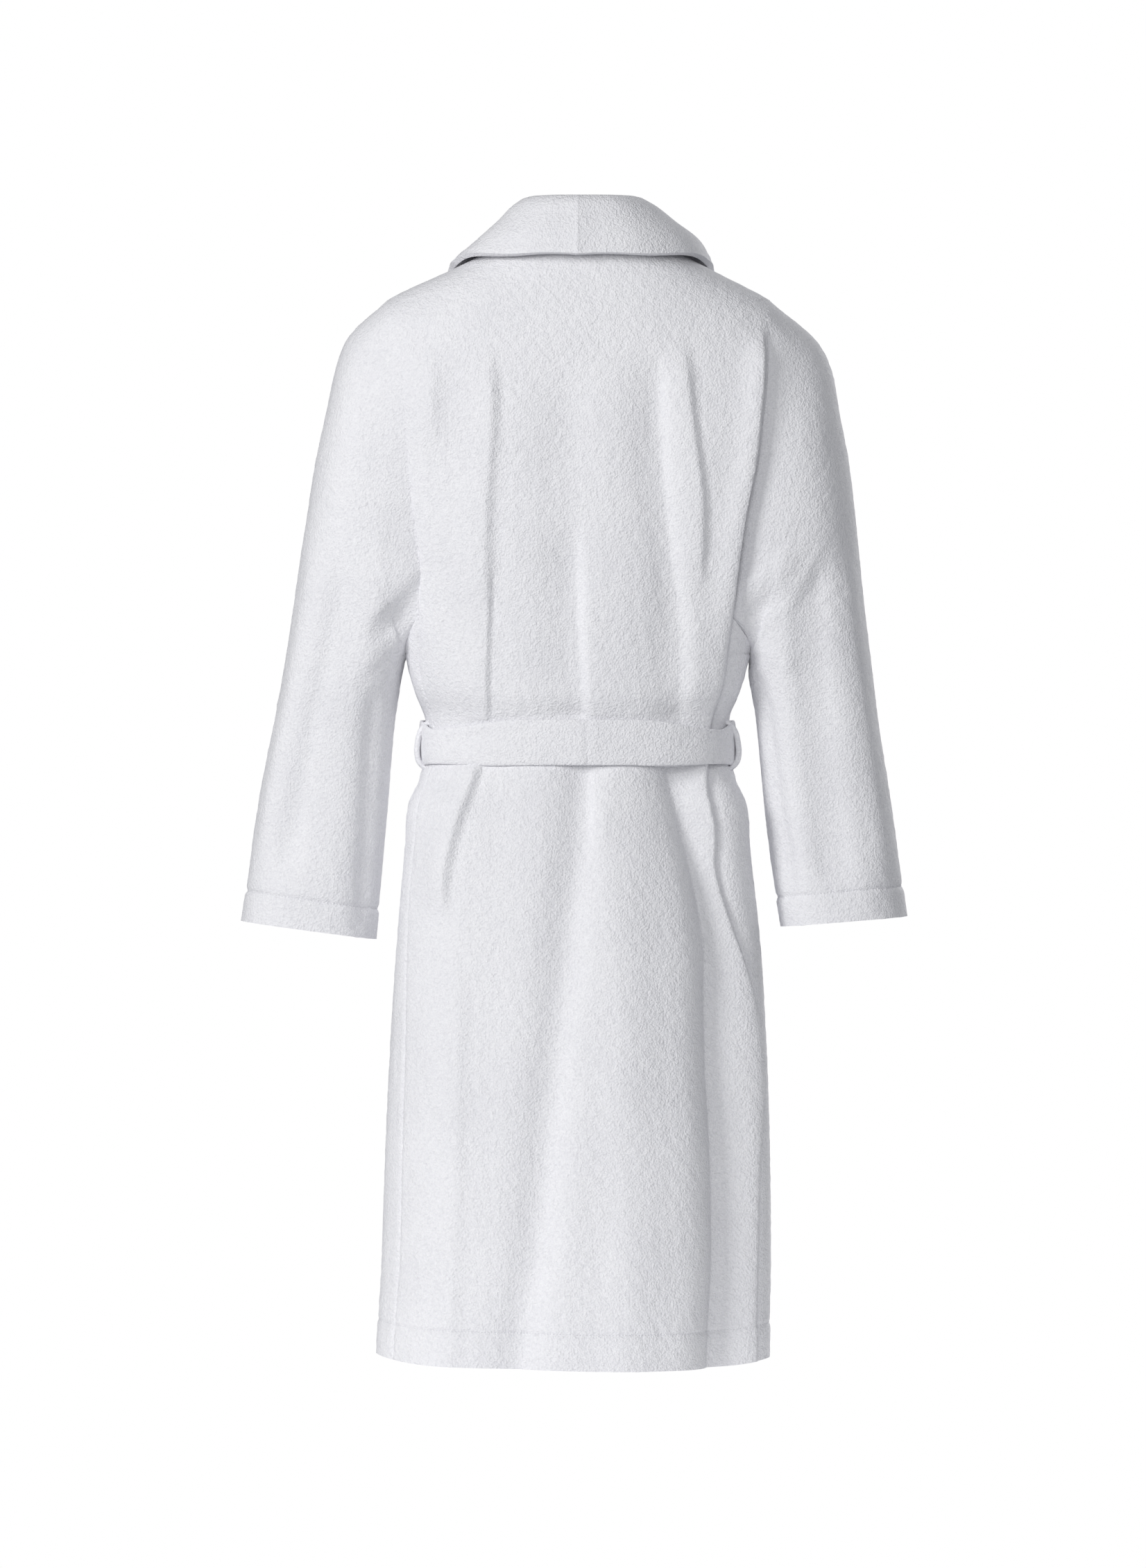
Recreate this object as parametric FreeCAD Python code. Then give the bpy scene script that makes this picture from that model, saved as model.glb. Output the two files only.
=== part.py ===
import FreeCAD, Part
import math
import os

# Towelling bathrobe as it hangs on a wearer, millimetres.
# +Z is up, the wearer faces -Y, and +X is the wearer's left.
# The origin is the centre-back point of the neck seam.

# ---- driving dimensions ----
HEM_Z = -1183.0            # lowest edge of the skirt
HEM_DEPTH = 38.0           # turned hem of the skirt
CUFF_DEPTH = 32.0          # turned hem of a sleeve
CLOTH = 4.0                # single towelling
DOUBLE_CLOTH = 6.0         # two layers sewn together
SEAM_GAP = 0.6             # space between two pieces that are sewn edge to edge
SQUARENESS = 2.4           # exponent of the body's oval sections

BELT_Z = -530.0            # middle of the belt
BELT_WIDTH = 46.0
BELT_CLEARANCE = 2.6       # belt to cloth
KNOT_X = -95.0             # the knot sits beside the free edge of the outer front
KNOT_SIZE = (50.0, 26.0, 50.0)
BELT_END_WIDTH = 39.0
BELT_END_LENGTH = 415.0
BELT_END_SPACING = 44.0
BELT_END_GAP = 2.0         # each end leaves the knot across this gap
BELT_END_STAND = 25.0      # each end comes forward this much to hang over the pocket
BELT_END_BEND = 100.0      # over this much of its length
BELT_END_DRIFT = 0.02      # and then leans forward this much per unit of length
BELT_LOOP_WIDTH = 10.0
BELT_LOOP_CLOTH = 1.6
BELT_LOOP_PLAY = 0.8       # belt to loop
BELT_LOOP_FOOT = 4.8       # the loop's sewn ends stand this far off the waist
BELT_LOOP_BACK = 14.0      # behind the middle of the side
BELT_LOOP_TAIL = 7.0       # the loop reaches this far above and below the belt
BELT_LOOP_END = 4.5        # thickness of its folded ends
BELT_LAP_START_X = -150.0  # from here to the next the belt rises on to the outer front
BELT_LAP_WIDTH = 80.0
KNOT_SINK = 4.0            # the knot sits this deep in the belt
KNOT_ROUND = 9.0
KNOT_MARGIN = 0.5          # belt to knot at each side

LAP = 7.5                  # how far the outer front stands off where the fronts overlap
LAP_EDGE_X = 45.0          # each front runs this far past the centre
LAP_FADE_X = 115.0         # where the outer front is back on the common surface
SIDE_SEAM_Y = -20.0
SHOULDER_SEAM_Y = -63.0
SEAM_CHANGE_Z = -330.0     # height in the armhole where side seam gives way to shoulder seam
FLAP_TOP_Z = -640.0        # the outer front opens on a crease that starts here at its free edge
FLAP_HEM_X = 85.0          # and reaches the hem here
CREASE_GAP = 1.2
CREASE_RUN_OUT = 60.0      # the crease is drawn on past its upper end by this much
COLLAR_LAP_GAP = 8.0       # the right lapel stops this far short of the left front's edge
COLLAR_MEET_Z = -250.0     # below this the lapels can meet
COLLAR_CROWN = 7.0         # the collar's fall is fuller than a straight line by this much
LAPEL_STAND = 9.0          # lapel's middle layer to the front's surface
LAPEL_CROWN = 3.0
LAPEL_ROLL = 4.0           # the roll line lies this far past the front's edge
STAND_CLOTH = 3.0          # collar's inner rise
STAND_RISE = 25.0
STAND_FOOT_Z = 1.0
STAND_SLOPE = 10.0         # its foot drops this much towards the shoulders
STAND_TOP_DROP = 3.0       # and its top a little more
STAND_SPREAD = 96.0        # degrees to each side of the centre back

ARM_TOP = (200.0, -70.0)       # armhole's top, x and z
ARM_PIT = (173.0, -462.0)      # armhole's lowest point, x and z
NECK_HALF_WIDTH = 78.0
NECK_DEPTH = 62.0              # centre back of the neck to the line of the shoulder seams
NECK_CUT = (-70.0, 50.0)       # heights between which the neck is cut out

POCKET_REACH = 100.0       # the pocket's width, measured along X
POCKET_HEIGHT = 175.0
POCKET_INNER_X = 68.0
POCKET_TOP_Z = -648.0
POCKET_SEAT = 1.4          # gap between the patch's sewn edges and the front
POCKET_GAPE = 14.0
POCKET_BAND = 26.0
PATCH_CLOTH = 3.0
BAND_CLOTH = 2.0

LOOP_SPAN = 50.0           # hanger loop between its sewn ends
LOOP_DROP = 30.0
LOOP_Y = -16.0
TAPE_WIDTH = 7.0
TAPE_THICKNESS = 1.6
LOOP_TOP_Z = -4.0
NECK_TAPE_THICKNESS = 1.2
NECK_TAPE_HEIGHTS = (-13.0, -9.0, -5.0)
NECK_TAPE_SPREAD = 54.0    # degrees to each side of the centre back
NECK_TAPE_INSET = 6.5      # from the neck's edge to the tape
NECK_TAPE_DROP = 8.0

LABEL_WIDTH = 56.0
LABEL_HEIGHT = 32.0
LABEL_TOP_Z = -46.0
LABEL_CLEARANCE = 1.8
LABEL_THICKNESS = 0.8
CARE_LABEL_TOP_Z = -640.0
CARE_LABEL_INSET = 7.0     # inside the side of the skirt

AROUND = 32                # points round a closed section
RING_SPACING = 60.0        # largest distance between the body's rings
SHOULDER_END_Z = -120.0    # the shoulders' slope ends here
FULL_LAP = 4.0             # the overlap's step is whole once a section's sine passes 1 / this
ARM_RADIUS = 80.0          # the armhole ring's inset is shared out over this half depth
BEYOND = 420.0             # farther out than any piece
TOP_Z = 60.0               # above every piece
FOOT_Z = HEM_Z - 30.0      # below every piece
EDGE_LEVELS = (20.0, -30.0, -60.0, -130.0, -200.0, -265.0, -330.0, -385.0, -440.0, -480.0, -505.0)

# Body sections from the neck to the hem: height, half width, front and back.
BODY = (
    (0.0, 62.0, -122.0, 1.0),
    (-10.0, 80.0, -127.0, 4.0),
    (-36.0, 131.0, -140.0, 12.0),
    (-69.0, 198.0, -152.0, 21.0),
    (-90.0, 229.0, -160.0, 26.0),
    (-120.0, 247.0, -170.0, 31.0),
    (-200.0, 235.0, -186.0, 37.0),
    (-330.0, 204.0, -200.0, 34.0),
    (-462.0, 173.0, -190.0, 16.0),
    (-483.0, 169.5, -188.5, 13.5),
    (-503.0, 160.0, -180.0, 6.0),
    (-530.0, 158.0, -178.0, 4.0),
    (-557.0, 160.0, -180.0, 6.0),
    (-590.0, 174.0, -189.0, 15.0),
    (-640.0, 179.0, -193.0, 24.0),
    (-800.0, 193.0, -204.0, 38.0),
    (-1000.0, 201.0, -211.0, 42.0),
    (-1183.0, 206.0, -215.0, 44.0),
)

# Front edge from the neck to the belt: height and distance from the centre, + towards its own side.
FRONT_EDGE = (
    (20.0, 80.0),
    (-60.0, 76.0),
    (-200.0, 60.0),
    (-330.0, 26.0),
    (-440.0, -14.0),
    (-505.0, -LAP_EDGE_X),
)

# Left sleeve from the armhole to the cuff: underarm point, outer point (x, z), centre y, half depth.
SLEEVE = (
    ((177.0, -465.0), (246.0, -114.0), -76.0, 84.0),
    ((180.0, -468.0), (270.0, -200.0), -79.0, 84.0),
    ((183.0, -473.0), (289.0, -318.0), -84.0, 80.0),
    ((186.0, -481.0), (304.0, -424.0), -88.0, 75.0),
    ((190.0, -512.0), (316.0, -496.0), -92.0, 70.0),
    ((198.0, -600.0), (332.0, -580.0), -96.0, 64.0),
    ((211.0, -735.0), (351.0, -711.0), -100.0, 62.0),
)
RIGHT_CUFF_RISE = 11.0     # the right sleeve hangs this much higher
RIGHT_CUFF_IN = 6.0        # and this much closer

# Shawl collar's left half, from the centre back to the front of the shoulder: roll line, outer edge.
COLLAR_BACK = (
    ((1.0, -3.0, 34.0), (1.0, 29.0, -27.0)),
    ((33.0, -11.0, 34.0), (67.0, 17.0, -27.0)),
    ((56.0, -33.0, 33.0), (116.0, -15.0, -26.0)),
    ((67.0, -63.0, 30.0), (136.0, -63.0, -25.0)),
    ((72.0, -100.0, 12.0), (146.0, -112.0, -38.0)),
)
# The same half down the front: height at the roll line, height and x of the outer edge.
LAPEL = (
    (-45.0, -96.0, 148.0),
    (-120.0, -165.0, 143.0),
    (-200.0, -240.0, 128.0),
    (-280.0, -310.0, 105.0),
    (-360.0, -380.0, 72.0),
    (-430.0, -440.0, 32.0),
    (-490.0, -494.0, -18.0),
)


def point(x, y, z):
    return FreeCAD.Vector(x, y, z)


def smooth(t):
    t = min(1.0, max(0.0, t))
    return t * t * (3.0 - 2.0 * t)


def at_height(stations, z, column):
    """Value of a column at height z, eased between the stations, which run downwards."""
    if z >= stations[0][0]:
        return stations[0][column]
    for i in range(len(stations) - 1):
        upper, lower = stations[i], stations[i + 1]
        if z >= lower[0]:
            before = stations[max(0, i - 1)]
            after = stations[min(len(stations) - 1, i + 2)]
            span = upper[0] - lower[0]
            t = (upper[0] - z) / span
            slope_in = (lower[column] - before[column]) / (before[0] - lower[0]) * span
            slope_out = (after[column] - upper[column]) / (upper[0] - after[0]) * span
            a = 2.0 * t ** 3 - 3.0 * t ** 2 + 1.0
            b = t ** 3 - 2.0 * t ** 2 + t
            c = -2.0 * t ** 3 + 3.0 * t ** 2
            d = t ** 3 - t ** 2
            return a * upper[column] + b * slope_in + c * lower[column] + d * slope_out
    return stations[-1][column]


def body_oval(z, inset=0.0):
    """Half width, centre y and half depth of the body at a height."""
    half = at_height(BODY, z, 1) - inset
    front = at_height(BODY, z, 2) + inset
    back = at_height(BODY, z, 3) - inset
    return half, (front + back) / 2.0, (back - front) / 2.0


def lap_shift(x):
    """How far the outer front stands off the common surface at x."""
    return LAP * smooth((LAP_FADE_X - x) / (LAP_FADE_X - LAP_EDGE_X))


def depth_factor(x, half):
    ratio = min(0.9999, abs(x) / half)
    return (1.0 - ratio ** SQUARENESS) ** (1.0 / SQUARENESS)


def front_y(x, z):
    """The front's outer surface, on the outer front's layer."""
    half, centre, depth = body_oval(z)
    return centre - depth * depth_factor(x, half) - lap_shift(x)


def back_y(x, z):
    half, centre, depth = body_oval(z)
    return centre + depth * depth_factor(x, half)


def edge_x(z):
    """Where the left front's free edge lies at a height."""
    return at_height(FRONT_EDGE, z, 1)


def arm_x(z):
    """The armhole's plane, as x at a height."""
    share = (z - ARM_PIT[1]) / (ARM_TOP[1] - ARM_PIT[1])
    return ARM_PIT[0] + share * (ARM_TOP[0] - ARM_PIT[0])


def open_curve(points):
    curve = Part.BSplineCurve()
    curve.interpolate(points)
    return curve.toShape()


def halves(points):
    """A closed run of points as two curves that share their ends."""
    middle = len(points) // 2
    return open_curve(points[:middle + 1]), open_curve(points[middle:] + points[:1])


def tube(outer_rows, inner_rows):
    """A closed solid between two nested stacks of rings, open at both ends."""
    faces = []
    outer = [halves(row) for row in outer_rows]
    inner = [halves(row) for row in inner_rows]
    for side in (0, 1):
        for stack in (outer, inner):
            for upper, lower in zip(stack[:-1], stack[1:]):
                faces.append(Part.makeRuledSurface(upper[side], lower[side]))
        for end in (0, -1):
            faces.append(Part.makeRuledSurface(outer[end][side], inner[end][side]))
    return sewn(faces)


def sewn(faces):
    shell = Part.makeShell(faces)
    shell.sewShape()
    solid = Part.makeSolid(shell)
    if solid.Volume < 0:
        solid.reverse()
    return solid


def body_ring(z, inset, outer_layer, drop=0.0):
    """Points round the body's section at z, with or without the overlap's step, drawn lower by the drop."""
    half, centre, depth = body_oval(z, inset)
    power = 2.0 / SQUARENESS
    points = []
    for i in range(AROUND):
        angle = 2.0 * math.pi * i / AROUND
        cos, sin = math.cos(angle), math.sin(angle)
        x = half * math.copysign(abs(cos) ** power, cos)
        y = centre + depth * math.copysign(abs(sin) ** power, sin)
        if outer_layer and sin < 0:
            y -= lap_shift(x) * smooth(-FULL_LAP * sin)
        points.append(point(x, y, z - drop))
    return points


def body_levels():
    """Heights of the body's rings: every station, with the long spans between them divided."""
    levels = [BODY[0][0]]
    for upper, lower in zip(BODY[:-1], BODY[1:]):
        steps = math.ceil((upper[0] - lower[0]) / RING_SPACING)
        for i in range(1, steps + 1):
            levels.append(upper[0] + (lower[0] - upper[0]) * i / steps)
    return levels


def body_shell(outer_layer):
    """One thickness of cloth round the whole body, open at the top and the hem."""
    outer, inner = [], []
    for z in body_levels():
        outer.append(body_ring(z, 0.0, outer_layer))
        drop = CLOTH * smooth((z - SHOULDER_END_Z) / -SHOULDER_END_Z)
        inner.append(body_ring(z, CLOTH, outer_layer, drop))
    return tube(outer, inner)


def prism_y(corners, high=BEYOND):
    """A solid with the given outline in X and Z, running along Y."""
    points = [point(x, -BEYOND, z) for x, z in corners]
    face = Part.Face(Part.makePolygon(points + points[:1]))
    return face.extrude(point(0, high + BEYOND, 0))


def prism_x(corners):
    """A solid with the given outline in Y and Z, running along X."""
    points = [point(-BEYOND, y, z) for y, z in corners]
    face = Part.Face(Part.makePolygon(points + points[:1]))
    return face.extrude(point(2.0 * BEYOND, 0, 0))


def slab(z_low, z_high):
    return Part.makeBox(2.0 * BEYOND, 2.0 * BEYOND, z_high - z_low, point(-BEYOND, -BEYOND, z_low))


def mirrored(shape):
    return shape.mirror(point(0, 0, 0), point(1, 0, 0))


def largest(shape):
    return max(shape.Solids, key=lambda solid: solid.Volume)


def back_side(gap):
    """Everything behind the side and shoulder seams, or in front of them with a negative gap."""
    far = math.copysign(BEYOND, gap)
    half = gap / 2.0
    corners = [
        (SHOULDER_SEAM_Y + half, TOP_Z),
        (SHOULDER_SEAM_Y + half, SEAM_CHANGE_Z),
        (SIDE_SEAM_Y + half, SEAM_CHANGE_Z),
        (SIDE_SEAM_Y + half, FOOT_Z),
        (far, FOOT_Z),
        (far, TOP_Z),
    ]
    return prism_x(corners)


def armhole_cutter():
    """Everything outside the left armhole's plane."""
    low = ARM_PIT[1] - 2.0
    inner = SEAM_GAP / 2.0
    corners = [(arm_x(low) - inner, low), (arm_x(TOP_Z) - inner, TOP_Z), (BEYOND, TOP_Z), (BEYOND, low)]
    return prism_y(corners)


def neck_cutter():
    low, high = NECK_CUT
    ellipse = Part.Ellipse(point(0, -NECK_DEPTH, low), NECK_HALF_WIDTH, NECK_DEPTH)
    return Part.Face(Part.Wire(ellipse.toShape())).extrude(point(0, 0, high - low))


def left_front_area(top, bottom):
    """Everything on the left of the left front's free edge."""
    corners = [(edge_x(z), z) for z in EDGE_LEVELS if bottom < z <= top]
    corners.append((edge_x(bottom), bottom))
    return prism_y(corners + [(BEYOND, bottom), (BEYOND, top)], 0.0)


def crease_x(z):
    """The crease on which the outer front opens: x at a height."""
    share = (FLAP_TOP_Z - z) / (FLAP_TOP_Z - HEM_Z)
    return -LAP_EDGE_X + share * (FLAP_HEM_X + LAP_EDGE_X)


def flap_area(gap):
    """The free corner below the crease, with its crease side moved by the gap."""
    top, low = FLAP_TOP_Z + CREASE_RUN_OUT, FOOT_Z
    corners = [(crease_x(top) + gap, top), (crease_x(low) + gap, low), (-BEYOND, low), (-BEYOND, top)]
    return prism_y(corners)


def cloth(rows, thickness):
    """A closed sheet of even thickness about a grid of points."""
    last_row, last_column = len(rows) - 1, len(rows[0]) - 1
    upper, lower = [], []
    for i, row in enumerate(rows):
        up, down = [], []
        for j, here in enumerate(row):
            along = rows[min(i + 1, last_row)][j] - rows[max(i - 1, 0)][j]
            across = row[min(j + 1, last_column)] - row[max(j - 1, 0)]
            normal = along.cross(across)
            normal.normalize()
            up.append(here + normal * (thickness / 2.0))
            down.append(here - normal * (thickness / 2.0))
        upper.append(up)
        lower.append(down)
    faces = []
    curves = [[open_curve(row) for row in side] for side in (upper, lower)]
    for side in curves:
        for first, second in zip(side[:-1], side[1:]):
            faces.append(Part.makeRuledSurface(first, second))
    for end in (0, -1):
        faces.append(Part.makeRuledSurface(curves[0][end], curves[1][end]))
        for i in range(last_row):
            top = Part.makeLine(upper[i][end], upper[i + 1][end])
            bottom = Part.makeLine(lower[i][end], lower[i + 1][end])
            faces.append(Part.makeRuledSurface(top, bottom))
    return sewn(faces)


def sleeve_sections(inset, right):
    """Closed sections of a left-hand sleeve from the armhole to the cuff."""
    middle = (ARM_TOP[1] + ARM_PIT[1]) / 2.0
    reach = (ARM_TOP[1] - ARM_PIT[1]) / 2.0
    first = []
    for k in range(AROUND):
        angle = 2.0 * math.pi * k / AROUND
        z = middle + reach * math.cos(angle)
        half, centre, depth = body_oval(z)
        swing = depth * depth_factor(arm_x(z), max(half, arm_x(z) + 0.2))
        swing *= (ARM_RADIUS - inset) / ARM_RADIUS
        z = middle + (reach - inset) * math.cos(angle)
        first.append(point(arm_x(z), centre + math.copysign(swing, math.sin(angle)), z))
    rows = [first]
    for number, (inner, outer, centre_y, depth) in enumerate(SLEEVE):
        share = number / (len(SLEEVE) - 1)
        rise = RIGHT_CUFF_RISE * share if right else 0.0
        shift = RIGHT_CUFF_IN * share if right else 0.0
        low = point(inner[0] - shift, centre_y, inner[1] + rise)
        high = point(outer[0] - shift, centre_y, outer[1] + rise)
        axis = (high - low) * 0.5
        axis = axis * ((axis.Length - inset) / axis.Length)
        middle_point = (high + low) * 0.5
        points = []
        for k in range(AROUND):
            angle = 2.0 * math.pi * k / AROUND
            sideways = point(0, (depth - inset) * math.sin(angle), 0)
            points.append(middle_point + axis * math.cos(angle) + sideways)
        rows.append(points)
    return rows


def sleeve_end(right, back_off):
    """The plane across a sleeve, a distance up from its end, as a big box below it."""
    inner, outer = SLEEVE[-1][0], SLEEVE[-1][1]
    rise = RIGHT_CUFF_RISE if right else 0.0
    shift = RIGHT_CUFF_IN if right else 0.0
    tilt = math.degrees(math.atan2(outer[1] - inner[1], outer[0] - inner[0]))
    box = Part.makeBox(2.0 * BEYOND, 2.0 * BEYOND, BEYOND, point(-BEYOND, -BEYOND, back_off - BEYOND))
    box.rotate(point(0, 0, 0), point(0, 1, 0), -tilt)
    box.translate(point(inner[0] - shift, 0, inner[1] + rise))
    return box


def sleeve_and_cuff(right):
    whole = tube(sleeve_sections(0.0, right), sleeve_sections(CLOTH, right))
    near = SEAM_GAP / 2.0
    low = ARM_PIT[1] - ARM_RADIUS
    body_side = prism_y([(arm_x(low) + near, low), (arm_x(TOP_Z) + near, TOP_Z), (0.0, TOP_Z), (0.0, low)])
    whole = largest(whole.cut(body_side))
    sleeve = largest(whole.cut(sleeve_end(right, CUFF_DEPTH + near)))
    cuff = largest(whole.common(sleeve_end(right, CUFF_DEPTH - near)))
    return (mirrored(sleeve), mirrored(cuff)) if right else (sleeve, cuff)


def collar_half():
    """The left half of the shawl collar, from the centre-back seam to its point at the belt."""
    columns = 5
    rows = []
    for roll, edge in COLLAR_BACK:
        start, end = point(*roll), point(*edge)
        row = []
        for j in range(columns):
            share = j / (columns - 1)
            crown = point(0, 0, COLLAR_CROWN * math.sin(math.pi * share))
            row.append(start + (end - start) * share + crown)
        rows.append(row)
    for roll_z, edge_z, outer_x in LAPEL:
        row = []
        for j in range(columns):
            share = j / (columns - 1)
            roll_x = edge_x(roll_z) - LAPEL_ROLL
            x = roll_x + share * (outer_x - roll_x)
            z = roll_z + share * (edge_z - roll_z)
            lift = LAPEL_STAND + LAPEL_CROWN * math.sin(math.pi * share)
            row.append(point(x, front_y(x, z) - lift, z))
        rows.append(row)
    return cloth(rows, DOUBLE_CLOTH)


def collar_right():
    """The right half, which runs under the left half's edge at the foot of the neckline."""
    cover = left_front_area(EDGE_LEVELS[0], HEM_Z)
    cover.translate(point(-COLLAR_LAP_GAP, 0, 0))
    return largest(mirrored(collar_half()).cut(cover.common(slab(HEM_Z, COLLAR_MEET_Z))))


def collar_stand():
    """The collar's inner rise, from the neck seam to just under the roll line."""
    rows = []
    foot = (NECK_HALF_WIDTH - 5.0, NECK_DEPTH - 6.0)
    lean = (17.0, 4.0)
    for i in range(9):
        angle = math.radians(STAND_SPREAD * (i / 4.0 - 1.0))
        sin, cos = math.sin(angle), math.cos(angle)
        row = []
        for share in (0.0, 0.5, 1.0):
            z = STAND_FOOT_Z - STAND_SLOPE * (1.0 - cos) + share * (STAND_RISE - STAND_TOP_DROP * (1.0 - cos))
            x = (foot[0] - share * lean[0]) * sin
            row.append(point(x, -NECK_DEPTH + (foot[1] - share * lean[1]) * cos, z))
        rows.append(row)
    return cloth(rows, STAND_CLOTH)


def neck_tape():
    """The tape that covers the neck seam inside the back."""
    rows = []
    half_x, half_y = NECK_HALF_WIDTH - 5.0, NECK_DEPTH - NECK_TAPE_INSET
    for i in range(7):
        angle = math.radians(NECK_TAPE_SPREAD * (i / 3.0 - 1.0))
        sin, cos = math.sin(angle), math.cos(angle)
        drop = NECK_TAPE_DROP * (1.0 - cos)
        row = [point(half_x * sin, -NECK_DEPTH + half_y * cos, z - drop) for z in NECK_TAPE_HEIGHTS]
        rows.append(row)
    return cloth(rows, NECK_TAPE_THICKNESS)


def hanger_loop():
    """A tape sewn down at both ends that hangs in a shallow U inside the back neck."""
    rows = []
    for i in range(9):
        share = i / 8.0
        x = (share - 0.5) * LOOP_SPAN
        z = LOOP_TOP_Z - LOOP_DROP * (1.0 - (2.0 * share - 1.0) ** 4)
        row = [point(x, LOOP_Y + side * TAPE_WIDTH / 2.0, z) for side in (-1.0, 0.0, 1.0)]
        rows.append(row)
    return cloth(rows, TAPE_THICKNESS)


def neck_label():
    """A blank woven label inside the back, below the hanger loop."""
    rows = []
    for i in range(5):
        z = LABEL_TOP_Z - LABEL_HEIGHT * i / 4.0
        row = []
        for j in range(5):
            x = (j / 4.0 - 0.5) * LABEL_WIDTH
            row.append(point(x, back_y(x, z) - CLOTH - LABEL_CLEARANCE, z))
        rows.append(row)
    return cloth(rows, LABEL_THICKNESS)


def care_label():
    """A blank care label that hangs inside the left side seam."""
    rows = []
    for i in range(4):
        z = CARE_LABEL_TOP_Z - LABEL_WIDTH * i / 3.0
        half, centre = body_oval(z)[:2]
        x = half - CLOTH - CARE_LABEL_INSET
        row = [point(x, centre + y, z) for y in (-LABEL_HEIGHT / 2.0, 0.0, LABEL_HEIGHT / 2.0)]
        rows.append(row)
    return cloth(rows, LABEL_THICKNESS)


def pocket(band, outer_layer):
    """The left patch pocket, or the stitched band across its mouth."""
    z_low = POCKET_TOP_Z - (POCKET_BAND if band else POCKET_HEIGHT)
    rows = []
    for i in range(9):
        across = i / 8.0
        row = []
        for j in range(6):
            z = z_low + (POCKET_TOP_Z - z_low) * j / 5.0
            height = (z - POCKET_TOP_Z + POCKET_HEIGHT) / POCKET_HEIGHT
            x = POCKET_INNER_X + across * POCKET_REACH
            bulge = POCKET_GAPE * math.sin(math.pi * across) ** 0.7 * smooth(height * 2.2)
            lift = POCKET_SEAT + PATCH_CLOTH / 2.0 + bulge * (0.35 + 0.65 * height)
            if band:
                lift += PATCH_CLOTH / 2.0 + BAND_CLOTH / 2.0 + SEAM_GAP
            row.append(surface_point(x, z, lift, outer_layer))
        rows.append(row)
    return cloth(rows, BAND_CLOTH if band else PATCH_CLOTH)


def surface_point(x, z, lift, outer_layer):
    """A point off the front, moved out squarely from its surface by the lift."""
    half, centre, depth = body_oval(z)
    step = 1.0
    slope = (depth_factor(x + step, half) - depth_factor(x - step, half)) * depth / (2.0 * step)
    normal = point(-slope, -1.0, 0)
    normal.normalize()
    shift = lap_shift(x) if outer_layer else 0.0
    return point(x, centre - depth * depth_factor(x, half) - shift, z) + normal * lift


def belt_ring(offset):
    """The belt's path round the body, over both fronts."""
    half, centre, depth = body_oval(BELT_Z)
    power = 2.0 / SQUARENESS
    points = []
    for i in range(2 * AROUND):
        angle = math.pi * (i + 0.5) / AROUND
        cos, sin = math.cos(angle), math.sin(angle)
        x = (half + offset) * math.copysign(abs(cos) ** power, cos)
        y = centre + (depth + offset) * math.copysign(abs(sin) ** power, sin)
        if sin < 0:
            lap = lap_shift(x) if x > -LAP_EDGE_X else LAP
            y -= lap * smooth((x - BELT_LAP_START_X) / BELT_LAP_WIDTH)
        points.append(point(x, y, BELT_Z - BELT_WIDTH / 2.0))
    return points


def knot_y():
    """The y of the knot's rear face."""
    return front_y(KNOT_X, BELT_Z) - BELT_CLEARANCE - DOUBLE_CLOTH + KNOT_SINK


def belt_wrap():
    rise = point(0, 0, BELT_WIDTH)
    outer, inner = belt_ring(BELT_CLEARANCE + DOUBLE_CLOTH), belt_ring(BELT_CLEARANCE)
    ring = tube([outer, [p + rise for p in outer]], [inner, [p + rise for p in inner]])
    reach = KNOT_SIZE[0] / 2.0 + KNOT_MARGIN
    corner = point(KNOT_X - reach, -BEYOND, BELT_Z - BELT_WIDTH)
    gap = Part.makeBox(2.0 * reach, BEYOND + SHOULDER_SEAM_Y, 2.0 * BELT_WIDTH, corner)
    return largest(ring.cut(gap))


def belt_knot():
    width, depth, height = KNOT_SIZE
    corner = point(KNOT_X - width / 2.0, knot_y() - depth, BELT_Z - height / 2.0)
    block = Part.makeBox(width, depth, height, corner)
    return block.makeFillet(KNOT_ROUND, block.Edges)


def belt_end(side):
    """A free end of the belt; side is +1 for the wearer's left end."""
    top = BELT_Z - KNOT_SIZE[2] / 2.0 - BELT_END_GAP
    x = KNOT_X + side * BELT_END_SPACING / 2.0
    start = knot_y() - KNOT_SIZE[1] / 2.0
    rows = []
    for i in range(12):
        down = BELT_END_LENGTH * i / 11.0
        forward = BELT_END_STAND * smooth(down / BELT_END_BEND) + BELT_END_DRIFT * down
        row = []
        for across in (-1.0, -0.5, 0.0, 0.5, 1.0):
            row.append(point(x + across * BELT_END_WIDTH / 2.0, start - forward, top - down))
        rows.append(row)
    return cloth(rows, DOUBLE_CLOTH)


def belt_loop(right):
    """A strip sewn to the side seam above and below the belt."""
    half, centre = body_oval(BELT_Z)[:2]
    inner = BELT_CLEARANCE + DOUBLE_CLOTH + BELT_LOOP_PLAY
    y = centre + BELT_LOOP_BACK
    height = BELT_WIDTH + 2.0 * BELT_LOOP_TAIL
    low = BELT_Z - height / 2.0
    foot, end = BELT_LOOP_FOOT, BELT_LOOP_END
    strip = Part.makeBox(inner + BELT_LOOP_CLOTH - foot, BELT_LOOP_WIDTH, height, point(half + foot, y, low))
    space = Part.makeBox(inner, BELT_LOOP_WIDTH, height - 2.0 * end, point(half, y, low + end))
    strip = strip.cut(space)
    return mirrored(strip) if right else strip


def save(name, shape):
    solids = shape.Solids
    if len(solids) != 1 or not solids[0].isValid():
        print("check", name, len(solids), [s.isValid() for s in solids])
    shape.exportStep("parts/" + name + ".step")


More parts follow.
